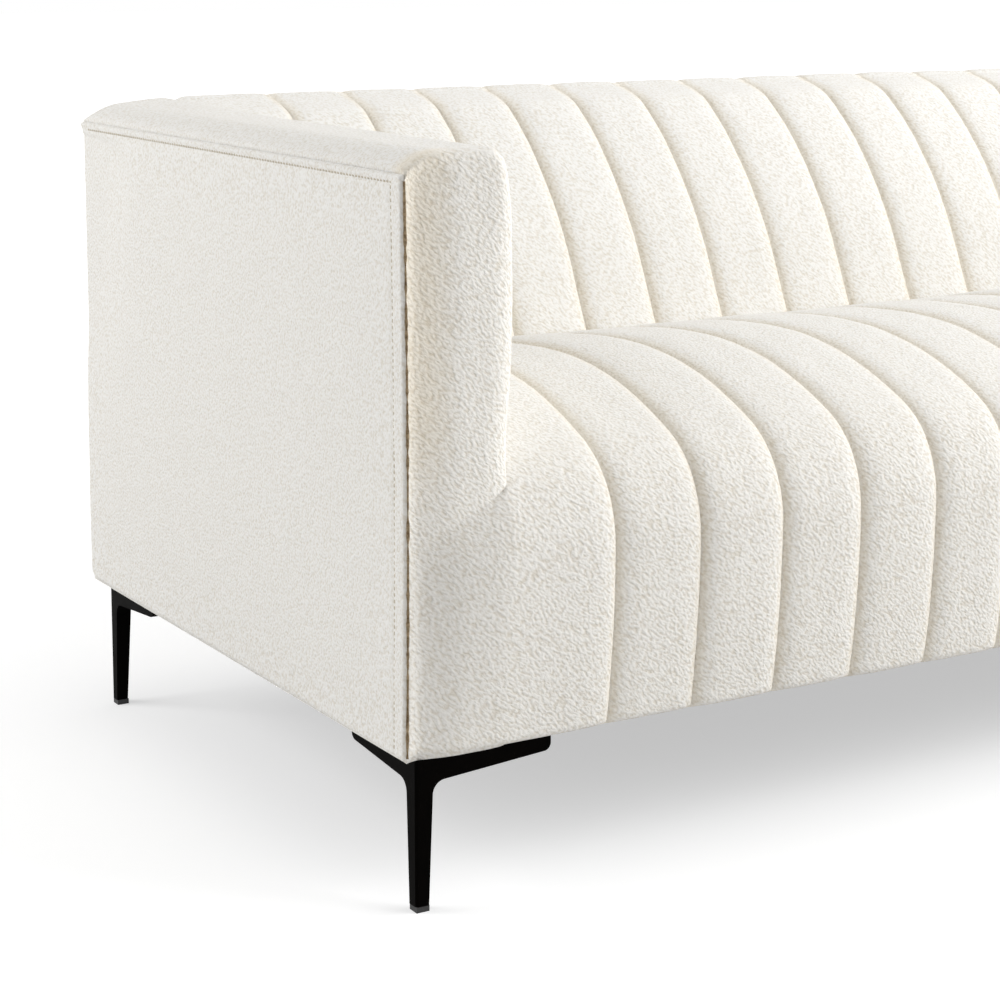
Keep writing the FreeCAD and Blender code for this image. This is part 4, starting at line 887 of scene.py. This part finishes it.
def make_arm(side, material):
    """One arm: the padded front, the top and the inner face as one cover."""
    widths, tops = arm_section()
    levels = arm_heights()
    section = np.vstack((
        np.column_stack((widths, tops)),
        np.column_stack((np.full(len(levels), ARM_WIDTH), levels)),
    ))

    rows = np.concatenate(([UNDER], levels[::-1][1:], [ARM_TOP - ARM_EDGE]))
    share = (rows - UNDER) / (ARM_TOP - ARM_EDGE - UNDER)
    face = np.empty((len(rows), len(widths), 3))
    face[..., 0] = widths[None, :]
    face[..., 2] = UNDER + share[:, None] * (tops - UNDER)[None, :]
    from_inner = ARM_WIDTH - face[..., 0]
    from_top = tops[None, :] - face[..., 2]
    padding = fade((ARM_TOP - face[..., 2]) / ARM_FRONT_PADDING_FADE)
    turn = ARM_FRONT_TURN + ARM_FRONT_PADDING * padding
    above_foot = fade((face[..., 2] - ARM_FRONT_FOOT) / ARM_FRONT_FOOT_FADE)
    rounded = ARM_FRONT_FOOT_SHARE + (1 - ARM_FRONT_FOOT_SHARE) * above_foot
    back = ARM_FRONT_EDGE * rounded * quarter(from_inner, turn)
    back += ARM_TOP_EDGE * quarter(from_top, ARM_TOP_EDGE) * (1 - back / ARM_FRONT_EDGE)
    back += front_hollow(face[..., 0]) * fade(from_top / HOLLOW_FADE)
    face[..., 1] = FRONT + back
    face[..., 0] += arm_belly(face[..., 2]) * fade(face[..., 0] / ARM_WIDTH)

    fall = ARM_TOP - SEAM_TOP
    first = FRONT + ARM_FRONT_EDGE
    along = np.linspace(first, REAR - fall, round((REAR - fall - first) / CELL))
    turns = np.radians(np.linspace(0, 90, ARM_REAR_STEPS)[1:])
    drop = np.concatenate((np.ones(len(along)), np.cos(turns)))
    along = np.concatenate((along, REAR - fall + fall * np.sin(turns)))
    sweep = np.empty((len(along), len(section), 3))
    belly = arm_belly(section[:, 1]) * fade(section[:, 0] / ARM_WIDTH)
    sweep[..., 0] = (section[:, 0] + belly)[None, :]
    sweep[..., 1] = along[:, None]
    rear = fade((along - ARM_REAR_LIFT_START) / ARM_REAR_LIFT_LENGTH)
    inward = fade((section[:, 0] - ARM_REAR_LIFT_INSET) / ARM_REAR_LIFT_WIDTH)
    raised = section[None, :, 1] + ARM_REAR_LIFT * rear[:, None] * inward[None, :]
    above = np.clip(raised - SEAM_TOP, 0, None)
    sweep[..., 2] = raised - above * (1 - drop[:, None])
    edge_y = np.concatenate((face[-1, :, 1], face[::-1][1:, -1, 1]))
    near_front = 1 - fade((along - first) / ARM_FRONT_BLEND)
    sweep[..., 1] += (edge_y - first)[None, :] * near_front[:, None]

    for grid, out in ((sweep, -1), (face, 1)):
        weight = fade(grid[..., 0] / SEAM_FLAT)
        grid[...] = soften(grid, out * grid_normals(grid), weight, ARM_LUMPS)
    sweep[..., 0] += SEAM_ROLL * quarter(section[:, 0], SEAM_ROLL_WIDTH)[None, :]
    face[..., 0] += SEAM_ROLL * quarter(widths, SEAM_ROLL_WIDTH)[None, :]
    sweep[0, :len(widths)] = face[-1]
    sweep[0, len(widths):] = face[::-1][1:, -1]

    shell = Shell()
    for grid in (sweep, face):
        grid[..., 0] = side * (HALF - grid[..., 0])
    swept = shell.add_points(sweep)
    faced = shell.add_points(face)
    shell.add_grid(swept)
    shell.add_grid(faced)
    low_rear = shell.add_points(np.array([[side * (HALF - SEAM_ROLL), REAR, UNDER]]))[0]
    shell.add_cap([*swept[-1], low_rear])
    shell.add_cap([*swept[:, 0], low_rear, *faced[:, 0]])
    shell.add_cap([*faced[0], *swept[:, -1], low_rear])
    return shell.build(sided("arm_upholstery", side), material)


# Flat panels

def panel_axis(low, high, step, fine_low, fine_high):
    """Places between two ends, with fine steps near either end where asked."""
    places = [low]
    while places[-1] < high - 1e-6:
        here = places[-1]
        near = min(here - low - fine_low, high - here - fine_high)
        places.append(min(high, here + (FINE_CELL if near < 0 else step)))
    return np.array(places)


def panel_lumps(base, near, size, lumps_seed, dimples_seed):
    """Unevenness of a flat panel, fading out at its seams."""
    lumps = LUMP * ripple(base, size, lumps_seed) + DIMPLE * ripple(base, DIMPLE_SIZE, dimples_seed)
    return fade(near / SEAM_FLAT) * lumps


def side_front(heights):
    """The front edge of the side panel, bowed a little forward at mid height."""
    level = np.clip((np.asarray(heights) - UNDER) / (SEAM_TOP - UNDER), 0, 1)
    return SIDE_FRONT - SIDE_BOW * np.sin(np.pi * level)


def make_side(side, material):
    """One outer side: flat and taut, with a topstitched band along its front and top
    seams, wrapped under the body and round the rear edge."""
    along = panel_axis(SIDE_FRONT, REAR, SIDE_CELL, FRONT_BAND + BAND_MARGIN, REAR_ROUND + ROUND_MARGIN)
    up = panel_axis(UNDER, SEAM_TOP, SIDE_CELL, BOTTOM_ROUND + ROUND_MARGIN, TOP_BAND + BAND_MARGIN)
    grid = np.empty((len(up), len(along), 3))
    share = (along - SIDE_FRONT) / (REAR - SIDE_FRONT)
    edge = side_front(up)[:, None]
    grid[..., 1] = edge + share[None, :] * (REAR - edge)
    grid[..., 2] = up[:, None]
    from_front = grid[..., 1] - edge
    from_top = SEAM_TOP - grid[..., 2]
    from_rear = REAR - grid[..., 1]
    height = grid[..., 2] - UNDER
    near = np.minimum(from_front, from_top)
    beyond = np.maximum(FRONT_BAND - from_front, TOP_BAND - from_top)
    out = BAND_RISE * fade((beyond + BAND_SLOPE_START) / BAND_SLOPE)
    out -= STITCH_GROOVE * np.exp(-(beyond / STITCH_HALF_WIDTH) ** 2)
    out -= SEAM_ROLL * quarter(near, PANEL_ROLL_WIDTH)
    out -= BOTTOM_ROUND * quarter(height, BOTTOM_ROUND)
    out -= REAR_ROUND * quarter(from_rear, REAR_ROUND)
    pillow = fade(near / PILLOW_FROM_SEAM) * fade(height / PILLOW_FROM_EDGE)
    out += PILLOW * (pillow * fade(from_rear / PILLOW_FROM_EDGE))
    lean = fade((height - LEAN_FOOT) / LEAN_RISE) * fade((from_top - TOP_BAND) / LEAN_HEAD)
    out -= LEAN * lean * (1 - fade(from_rear / LEAN_LENGTH))
    base = grid.copy()
    base[..., 0] = side * HALF
    out += panel_lumps(base, near, SIDE_LUMP_SIZE, SIDE_LUMPS, SIDE_DIMPLES)
    grid[..., 0] = side * (HALF + out)
    near_front = 1 - fade(from_front / (4 * CORNER_TUCK))
    grid[..., 1] += CORNER_TUCK * quarter(height, CORNER_TUCK) * near_front
    near_floor = 1 - fade(height / REAR_CORNER_HEIGHT)
    grid[..., 2] += REAR_CORNER_RISE * quarter(from_rear, REAR_CORNER_WIDTH) * near_floor

    shell = Shell()
    index = shell.add_points(grid)
    shell.add_grid(index)
    under = grid[0].copy()
    under[:, 0] = side * (HALF - PANEL_TURN_UNDER)
    under[:, 1] = np.maximum(under[:, 1], FRONT + HOLLOW_DEPTH + CORNER_TUCK)
    hem = shell.add_points(under)
    shell.add_grid(np.vstack((hem, index[0])))
    rear = grid[:, -1].copy()
    rear[:, 0] -= side * REAR_WRAP
    rear[:, 1] += REAR_WRAP_STAND
    wrap = shell.add_points(rear)
    shell.add_grid(np.column_stack((index[:, -1], wrap)))
    return shell.build(sided("side_panel", side), material)


def make_crevice_shade(side, material):
    """A dark brown tube in the front seam of the side panel: painted shade in the crevice."""
    heights = np.arange(UNDER + CREVICE_FOOT, SEAM_TOP - CREVICE_HEAD, CREVICE_STEP)
    turns = np.linspace(0, math.tau, CREVICE_CORNERS + 1)[:-1]
    grid = np.empty((len(heights), len(turns), 3))
    spine = np.column_stack((np.full(len(heights), side * HALF), side_front(heights), heights))
    width = CREVICE * (1 + CREVICE_WANDER * ripple(spine, CREVICE_WANDER_SIZE, CREVICE_WIDTHS))
    grid[..., 0] = side * (HALF - CREVICE_DEPTH + width[:, None] * np.cos(turns)[None, :])
    ahead = side_front(heights) - CREVICE_AHEAD
    grid[..., 1] = ahead[:, None] + width[:, None] * np.sin(turns)[None, :]
    grid[..., 2] = heights[:, None]
    shell = Shell()
    index = shell.add_points(grid)
    shell.add_grid(np.column_stack((index, index[:, :1])))
    shell.add_cap(index[0])
    shell.add_cap(index[-1])
    return shell.build(sided("painted_crevice_shade", side), material)


def make_outside_back(material):
    """The plain outside back, wrapped under the body."""
    edge = HALF - REAR_WRAP
    across = panel_axis(-edge, edge, BACK_CELL, BACK_MARGIN, BACK_MARGIN)
    up = panel_axis(UNDER, SEAM_TOP, BACK_CELL, BOTTOM_ROUND + ROUND_MARGIN, BACK_MARGIN)
    grid = np.empty((len(up), len(across), 3))
    grid[..., 0] = across[None, :]
    grid[..., 2] = up[:, None]
    from_side = edge - np.abs(across)[None, :]
    near = np.minimum(from_side, SEAM_TOP - up[:, None])
    out = BACK_STAND - BACK_EDGE_DROP * quarter(near, PANEL_ROLL_WIDTH)
    out -= BOTTOM_ROUND * quarter(up[:, None] - UNDER, BOTTOM_ROUND)
    base = grid.copy()
    base[..., 1] = REAR
    out += panel_lumps(base, near, BACK_LUMP_SIZE, REAR_LUMPS, REAR_DIMPLES)
    grid[..., 1] = REAR + out

    shell = Shell()
    index = shell.add_points(grid)
    shell.add_grid(index)
    under = grid[0].copy()
    under[:, 1] = REAR - PANEL_TURN_UNDER
    shell.add_grid(np.vstack((shell.add_points(under), index[0])))
    return shell.build("outside_back_panel", material)


def make_stitches(side, material):
    """Thread of the topstitching, one short loop after another."""
    line_z = SEAM_TOP - TOP_BAND
    heights = np.arange(UNDER + STITCH_START, line_z, STITCH_PITCH)
    places = [(y, z, 2) for y, z in zip(side_front(heights) + FRONT_BAND, heights)]
    along = np.arange(SIDE_FRONT + FRONT_BAND, REAR - STITCH_END, STITCH_PITCH)
    places += [(y, line_z, 1) for y in along]
    work = bmesh.new()
    for y, z, axis in places:
        made = bmesh.ops.create_icosphere(work, subdivisions=2, radius=1)["verts"]
        size = [THREAD, THREAD, THREAD]
        size[axis] = STITCH_LENGTH / 2
        centre = Vector((side * (HALF - STITCH_GROOVE + BAND_RISE / 2), y, z))
        matrix = Matrix.Translation(centre) @ Matrix.Diagonal((*size, 1))
        bmesh.ops.transform(work, verts=made, matrix=matrix)
    mesh = bpy.data.meshes.new("stitches")
    work.to_mesh(mesh)
    work.free()
    for polygon in mesh.polygons:
        polygon.use_smooth = True
    return add_piece(sided("topstitching", side), mesh, material)


# Sheets of cloth inside and underneath

def make_sheet(name, grid, material):
    """A thin sheet from one grid of points."""
    shell = Shell()
    shell.add_grid(shell.add_points(grid))
    return shell.build(name, material)


def flat_cloth(low, high, height, sag, seed):
    """A level sheet between two corners, level at its edges and sagging unevenly further in."""
    across = np.arange(low[0], high[0] + CLOTH_CELL / 2, CLOTH_CELL)
    along = np.arange(low[1], high[1] + CLOTH_CELL / 2, CLOTH_CELL)
    across, along = np.clip(across, low[0], high[0]), np.clip(along, low[1], high[1])
    grid = np.empty((len(along), len(across), 3))
    grid[..., 0] = across[None, :]
    grid[..., 1] = along[:, None]
    grid[..., 2] = height
    inset = np.minimum(
        np.minimum(grid[..., 0] - low[0], high[0] - grid[..., 0]),
        np.minimum(grid[..., 1] - low[1], high[1] - grid[..., 1]))
    slack = fade((inset - CLOTH_MARGIN) / CLOTH_SLACK_WIDTH)
    grid[..., 2] -= sag * slack * (1 + 0.5 * ripple(grid, CLOTH_FOLD, seed))
    return grid


def hessian_cloth(low, high):
    """The sheet behind the back foam, following the back from its foot to the top rail."""
    points, normals = back_path()
    inner = points - normals * HESSIAN_DEPTH
    kept = inner[(inner[:, 1] < high[2]) & (inner[:, 0] < high[1])]
    kept = np.vstack(([[kept[0, 0], low[2]]], kept))
    across = np.linspace(low[0], high[0], round((high[0] - low[0]) / CLOTH_CELL))
    grid = np.empty((len(kept), len(across), 3))
    grid[..., 0] = across[None, :]
    grid[..., 1] = kept[:, 0:1]
    grid[..., 2] = kept[:, 1:2]
    grid[..., 1] += HESSIAN_SLACK * ripple(grid, CLOTH_FOLD, HESSIAN_FOLDS)
    return grid


# Camera, light and floor

def make_camera():
    """The photograph's view of the left end."""
    data = bpy.data.cameras.new("camera")
    data.lens = CAMERA_LENS
    data.sensor_width = 36
    data.shift_y = CAMERA_SHIFT
    data.clip_end = 100
    camera = bpy.data.objects.new("camera", data)
    camera.location = CAMERA_PLACE
    camera.rotation_euler = (math.radians(90 - CAMERA_DOWN), 0, math.radians(CAMERA_TURN))
    bpy.context.scene.collection.objects.link(camera)
    bpy.context.scene.camera = camera


def make_light(name, place, size, power):
    """A soft box that looks at the sofa."""
    data = bpy.data.lights.new(name, "AREA")
    data.shape = "RECTANGLE"
    data.size, data.size_y = size
    data.energy = power
    lamp = bpy.data.objects.new(name, data)
    lamp.location = place
    aim = Vector(LIGHT_TARGET) - Vector(place)
    lamp.rotation_euler = aim.to_track_quat("-Z", "Y").to_euler()
    bpy.context.scene.collection.objects.link(lamp)


def camera_or_gloss(tree):
    """1 for what the camera sees directly, in gloss or through glass."""
    path = tree.nodes.new("ShaderNodeLightPath")
    seen = math_node(tree, "MAXIMUM", path.outputs["Is Camera Ray"], path.outputs["Is Glossy Ray"])
    return math_node(tree, "MAXIMUM", seen, path.outputs["Is Transmission Ray"])


def make_world():
    """An even white room."""
    world = bpy.data.worlds.new("room")
    bpy.context.scene.world = world
    world.use_nodes = True
    tree = world.node_tree
    back = tree.nodes["Background"]
    back.inputs["Color"].default_value = (1, 1, 1, 1)
    strength = tree.nodes.new("ShaderNodeMix")
    strength.inputs[2].default_value = ROOM_LIGHT
    strength.inputs[3].default_value = ROOM_SHOWN
    tree.links.new(camera_or_gloss(tree), strength.inputs[0])
    tree.links.new(strength.outputs[0], back.inputs["Strength"])


def make_floor():
    """A white floor that keeps a pale shadow, with a glow for the camera that paints it darker round the
    sofa.
    """
    mesh = bpy.data.meshes.new("floor")
    corners = [(x * FLOOR_REACH, y * FLOOR_REACH, 0) for x, y in ((-1, -1), (1, -1), (1, 1), (-1, 1))]
    mesh.from_pydata(corners, [], [(0, 1, 2, 3)])
    floor = bpy.data.objects.new("floor", mesh)
    bpy.context.scene.collection.objects.link(floor)
    material = bpy.data.materials.new("floor")
    material.use_nodes = True
    tree = material.node_tree
    tree.nodes.clear()
    plain = node(tree, "ShaderNodeBsdfDiffuse", Color=FLOOR_COLOUR)
    shown = node(tree, "ShaderNodeBsdfDiffuse", Color=FLOOR_SHOWN)
    spot = node(tree, "ShaderNodeTexCoord").outputs["Object"]
    away = node(tree, "ShaderNodeVectorMath", operation="LENGTH")
    tree.links.new(spot, away.inputs[0])
    # Painted shade: the camera sees a glow that rises from about half strength near the sofa to full white
    # further out.
    painted_glow = node(tree, "ShaderNodeEmission", Color=(1, 1, 1, 1))
    rise = node(
        tree, "ShaderNodeMapRange", From_Min=1.3, From_Max=2.4, To_Min=0.505, To_Max=1.03)
    tree.links.new(away.outputs["Value"], rise.inputs["Value"])
    tree.links.new(rise.outputs[0], painted_glow.inputs["Strength"])
    both = tree.nodes.new("ShaderNodeAddShader")
    tree.links.new(shown.outputs[0], both.inputs[0])
    tree.links.new(painted_glow.outputs[0], both.inputs[1])
    pick = tree.nodes.new("ShaderNodeMixShader")
    tree.links.new(camera_or_gloss(tree), pick.inputs[0])
    tree.links.new(plain.outputs[0], pick.inputs[1])
    tree.links.new(both.outputs[0], pick.inputs[2])
    output = tree.nodes.new("ShaderNodeOutputMaterial")
    tree.links.new(pick.outputs[0], output.inputs["Surface"])
    mesh.materials.append(material)


bpy.context.scene.view_settings.view_transform = "Standard"
make_camera()
make_world()
make_floor()
make_light("key", (3.0, -3.2, 3.2), (3.0, 3.0), 155)
make_light("right", (5.0, -1.0, 2.0), (2.5, 2.5), 165)
make_light("left_rear", (-4.0, 1.8, 2.2), (2.5, 2.5), 85)
make_light("above", (0.0, -0.5, 4.0), (4.0, 3.0), 10)

# Copies of the pile that differ in where warm shade is painted: in the arm front hollows, along the
# channel seams of the seat and back, and on forward-facing cloth except on the back.
BOUCLE = boucle_material("boucle", 1.0, FRONT_PAINTED_SHADE)
ARM_BOUCLE = boucle_material("boucle_arm", 1.0, FRONT_PAINTED_SHADE, hollow_shade)
SEAT_BOUCLE = boucle_material("boucle_seat", 1.0, FRONT_PAINTED_SHADE, seam_shade)
BACK_BOUCLE = boucle_material("boucle_back", 0.6, 0.0, seam_shade)
STITCH_THREAD = speckled_material(
    "thread", (0.50, 0.44, 0.34), (0.66, 0.60, 0.50), 900, 0.8, 0.0001)
# Dark brown paint for the shade in the front seams of the side panels.
CREVICE_SHADE_PAINT = speckled_material(
    "painted_crevice_shade", (0.10, 0.06, 0.025), (0.36, 0.27, 0.16), 260, 0.9, 0.0002)

seat = make_seat(SEAT_BOUCLE)
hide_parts("seat_cover", "seat_foam", "front_rail_foam", "front_corner_pad_left",
            "front_corner_pad_right")

back = make_back(BACK_BOUCLE)
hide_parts("back_cover", "back_foam")

for name, side in (("left", -1), ("right", 1)):
    arm = make_arm(side, ARM_BOUCLE)
    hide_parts(f"arm_cover_{name}", f"arm_top_foam_{name}", f"arm_front_foam_{name}",
                f"arm_inner_foam_{name}")
    panel = make_side(side, BOUCLE)
    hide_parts(f"side_cover_{name}", f"side_wadding_{name}")
    stitches = make_stitches(side, STITCH_THREAD)
    crevice_shade = make_crevice_shade(side, CREVICE_SHADE_PAINT)

outside = make_outside_back(BOUCLE)
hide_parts("outside_back_cover", "back_wadding")

DUST_CLOTH = speckled_material(
    "dust_cloth", (0.008, 0.008, 0.009), (0.02, 0.02, 0.022), 600, 0.9, 0.0004)
FELT = speckled_material("felt", (0.14, 0.14, 0.15), (0.30, 0.30, 0.31), 350, 0.95, 0.0008)
HESSIAN = woven_material("hessian", (0.22, 0.16, 0.09), (0.52, 0.42, 0.27), 0.003)

dust_grid = flat_cloth(CLOTH_LOW, CLOTH_HIGH, (CLOTH_LOW[2] + CLOTH_HIGH[2]) / 2, DUST_SAG, DUST_FOLDS)
dust_cloth = make_sheet("dust_cloth", dust_grid, DUST_CLOTH)
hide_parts("dust_cover")

FELT_LOW, FELT_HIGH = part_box("spring_felt_pad")
felt_grid = flat_cloth(FELT_LOW, FELT_HIGH, FELT_HIGH[2] - FELT_SAG, FELT_SAG, FELT_FOLDS)
felt_pad = make_sheet("felt_pad", felt_grid, FELT)
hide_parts("spring_felt_pad")

hessian_grid = hessian_cloth(*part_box("back_hessian"))
hessian = make_sheet("hessian_sheet", hessian_grid, HESSIAN)
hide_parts("back_hessian")

NODE_MATERIALS = {
    "leg_metal": leg_material(),
    "glide_plastic": speckled_material(
        "glide", (0.012, 0.012, 0.012), (0.02, 0.02, 0.02), 700, 0.55, 0.0001),
    "wood": grained_material(
        "hardwood", (0.42, 0.27, 0.14), (0.66, 0.48, 0.29), 14, (1, 1, 6), 0.6, 0.0003),
    "plywood": grained_material(
        "plywood", (0.58, 0.44, 0.27), (0.76, 0.62, 0.42), 20, (1, 12, 1), 0.6, 0.0003),
    "fibreboard": speckled_material(
        "fibreboard", (0.30, 0.21, 0.12), (0.40, 0.29, 0.18), 400, 0.85, 0.0002),
    "felt": FELT,
    "webbing": woven_material("webbing", (0.24, 0.18, 0.10), (0.55, 0.45, 0.29), 0.004),
    "hessian": HESSIAN,
    "dust_cloth": DUST_CLOTH,
    "spring_steel": speckled_material(
        "spring_steel", (0.20, 0.20, 0.21), (0.34, 0.34, 0.35), 300, 0.38, 0.0001, 1.0),
    "screw_steel": speckled_material(
        "screw_steel", (0.42, 0.40, 0.34), (0.56, 0.54, 0.48), 500, 0.35, 0.0001, 1.0),
}
SLOT_OF = {part["node"]: part["material_slot"] for part in frame["record"]["subparts"]}
for name, piece in frame["nodes"].items():
    material = NODE_MATERIALS.get(SLOT_OF.get(name))
    if material is not None:
        piece.data.materials.clear()
        piece.data.materials.append(material)
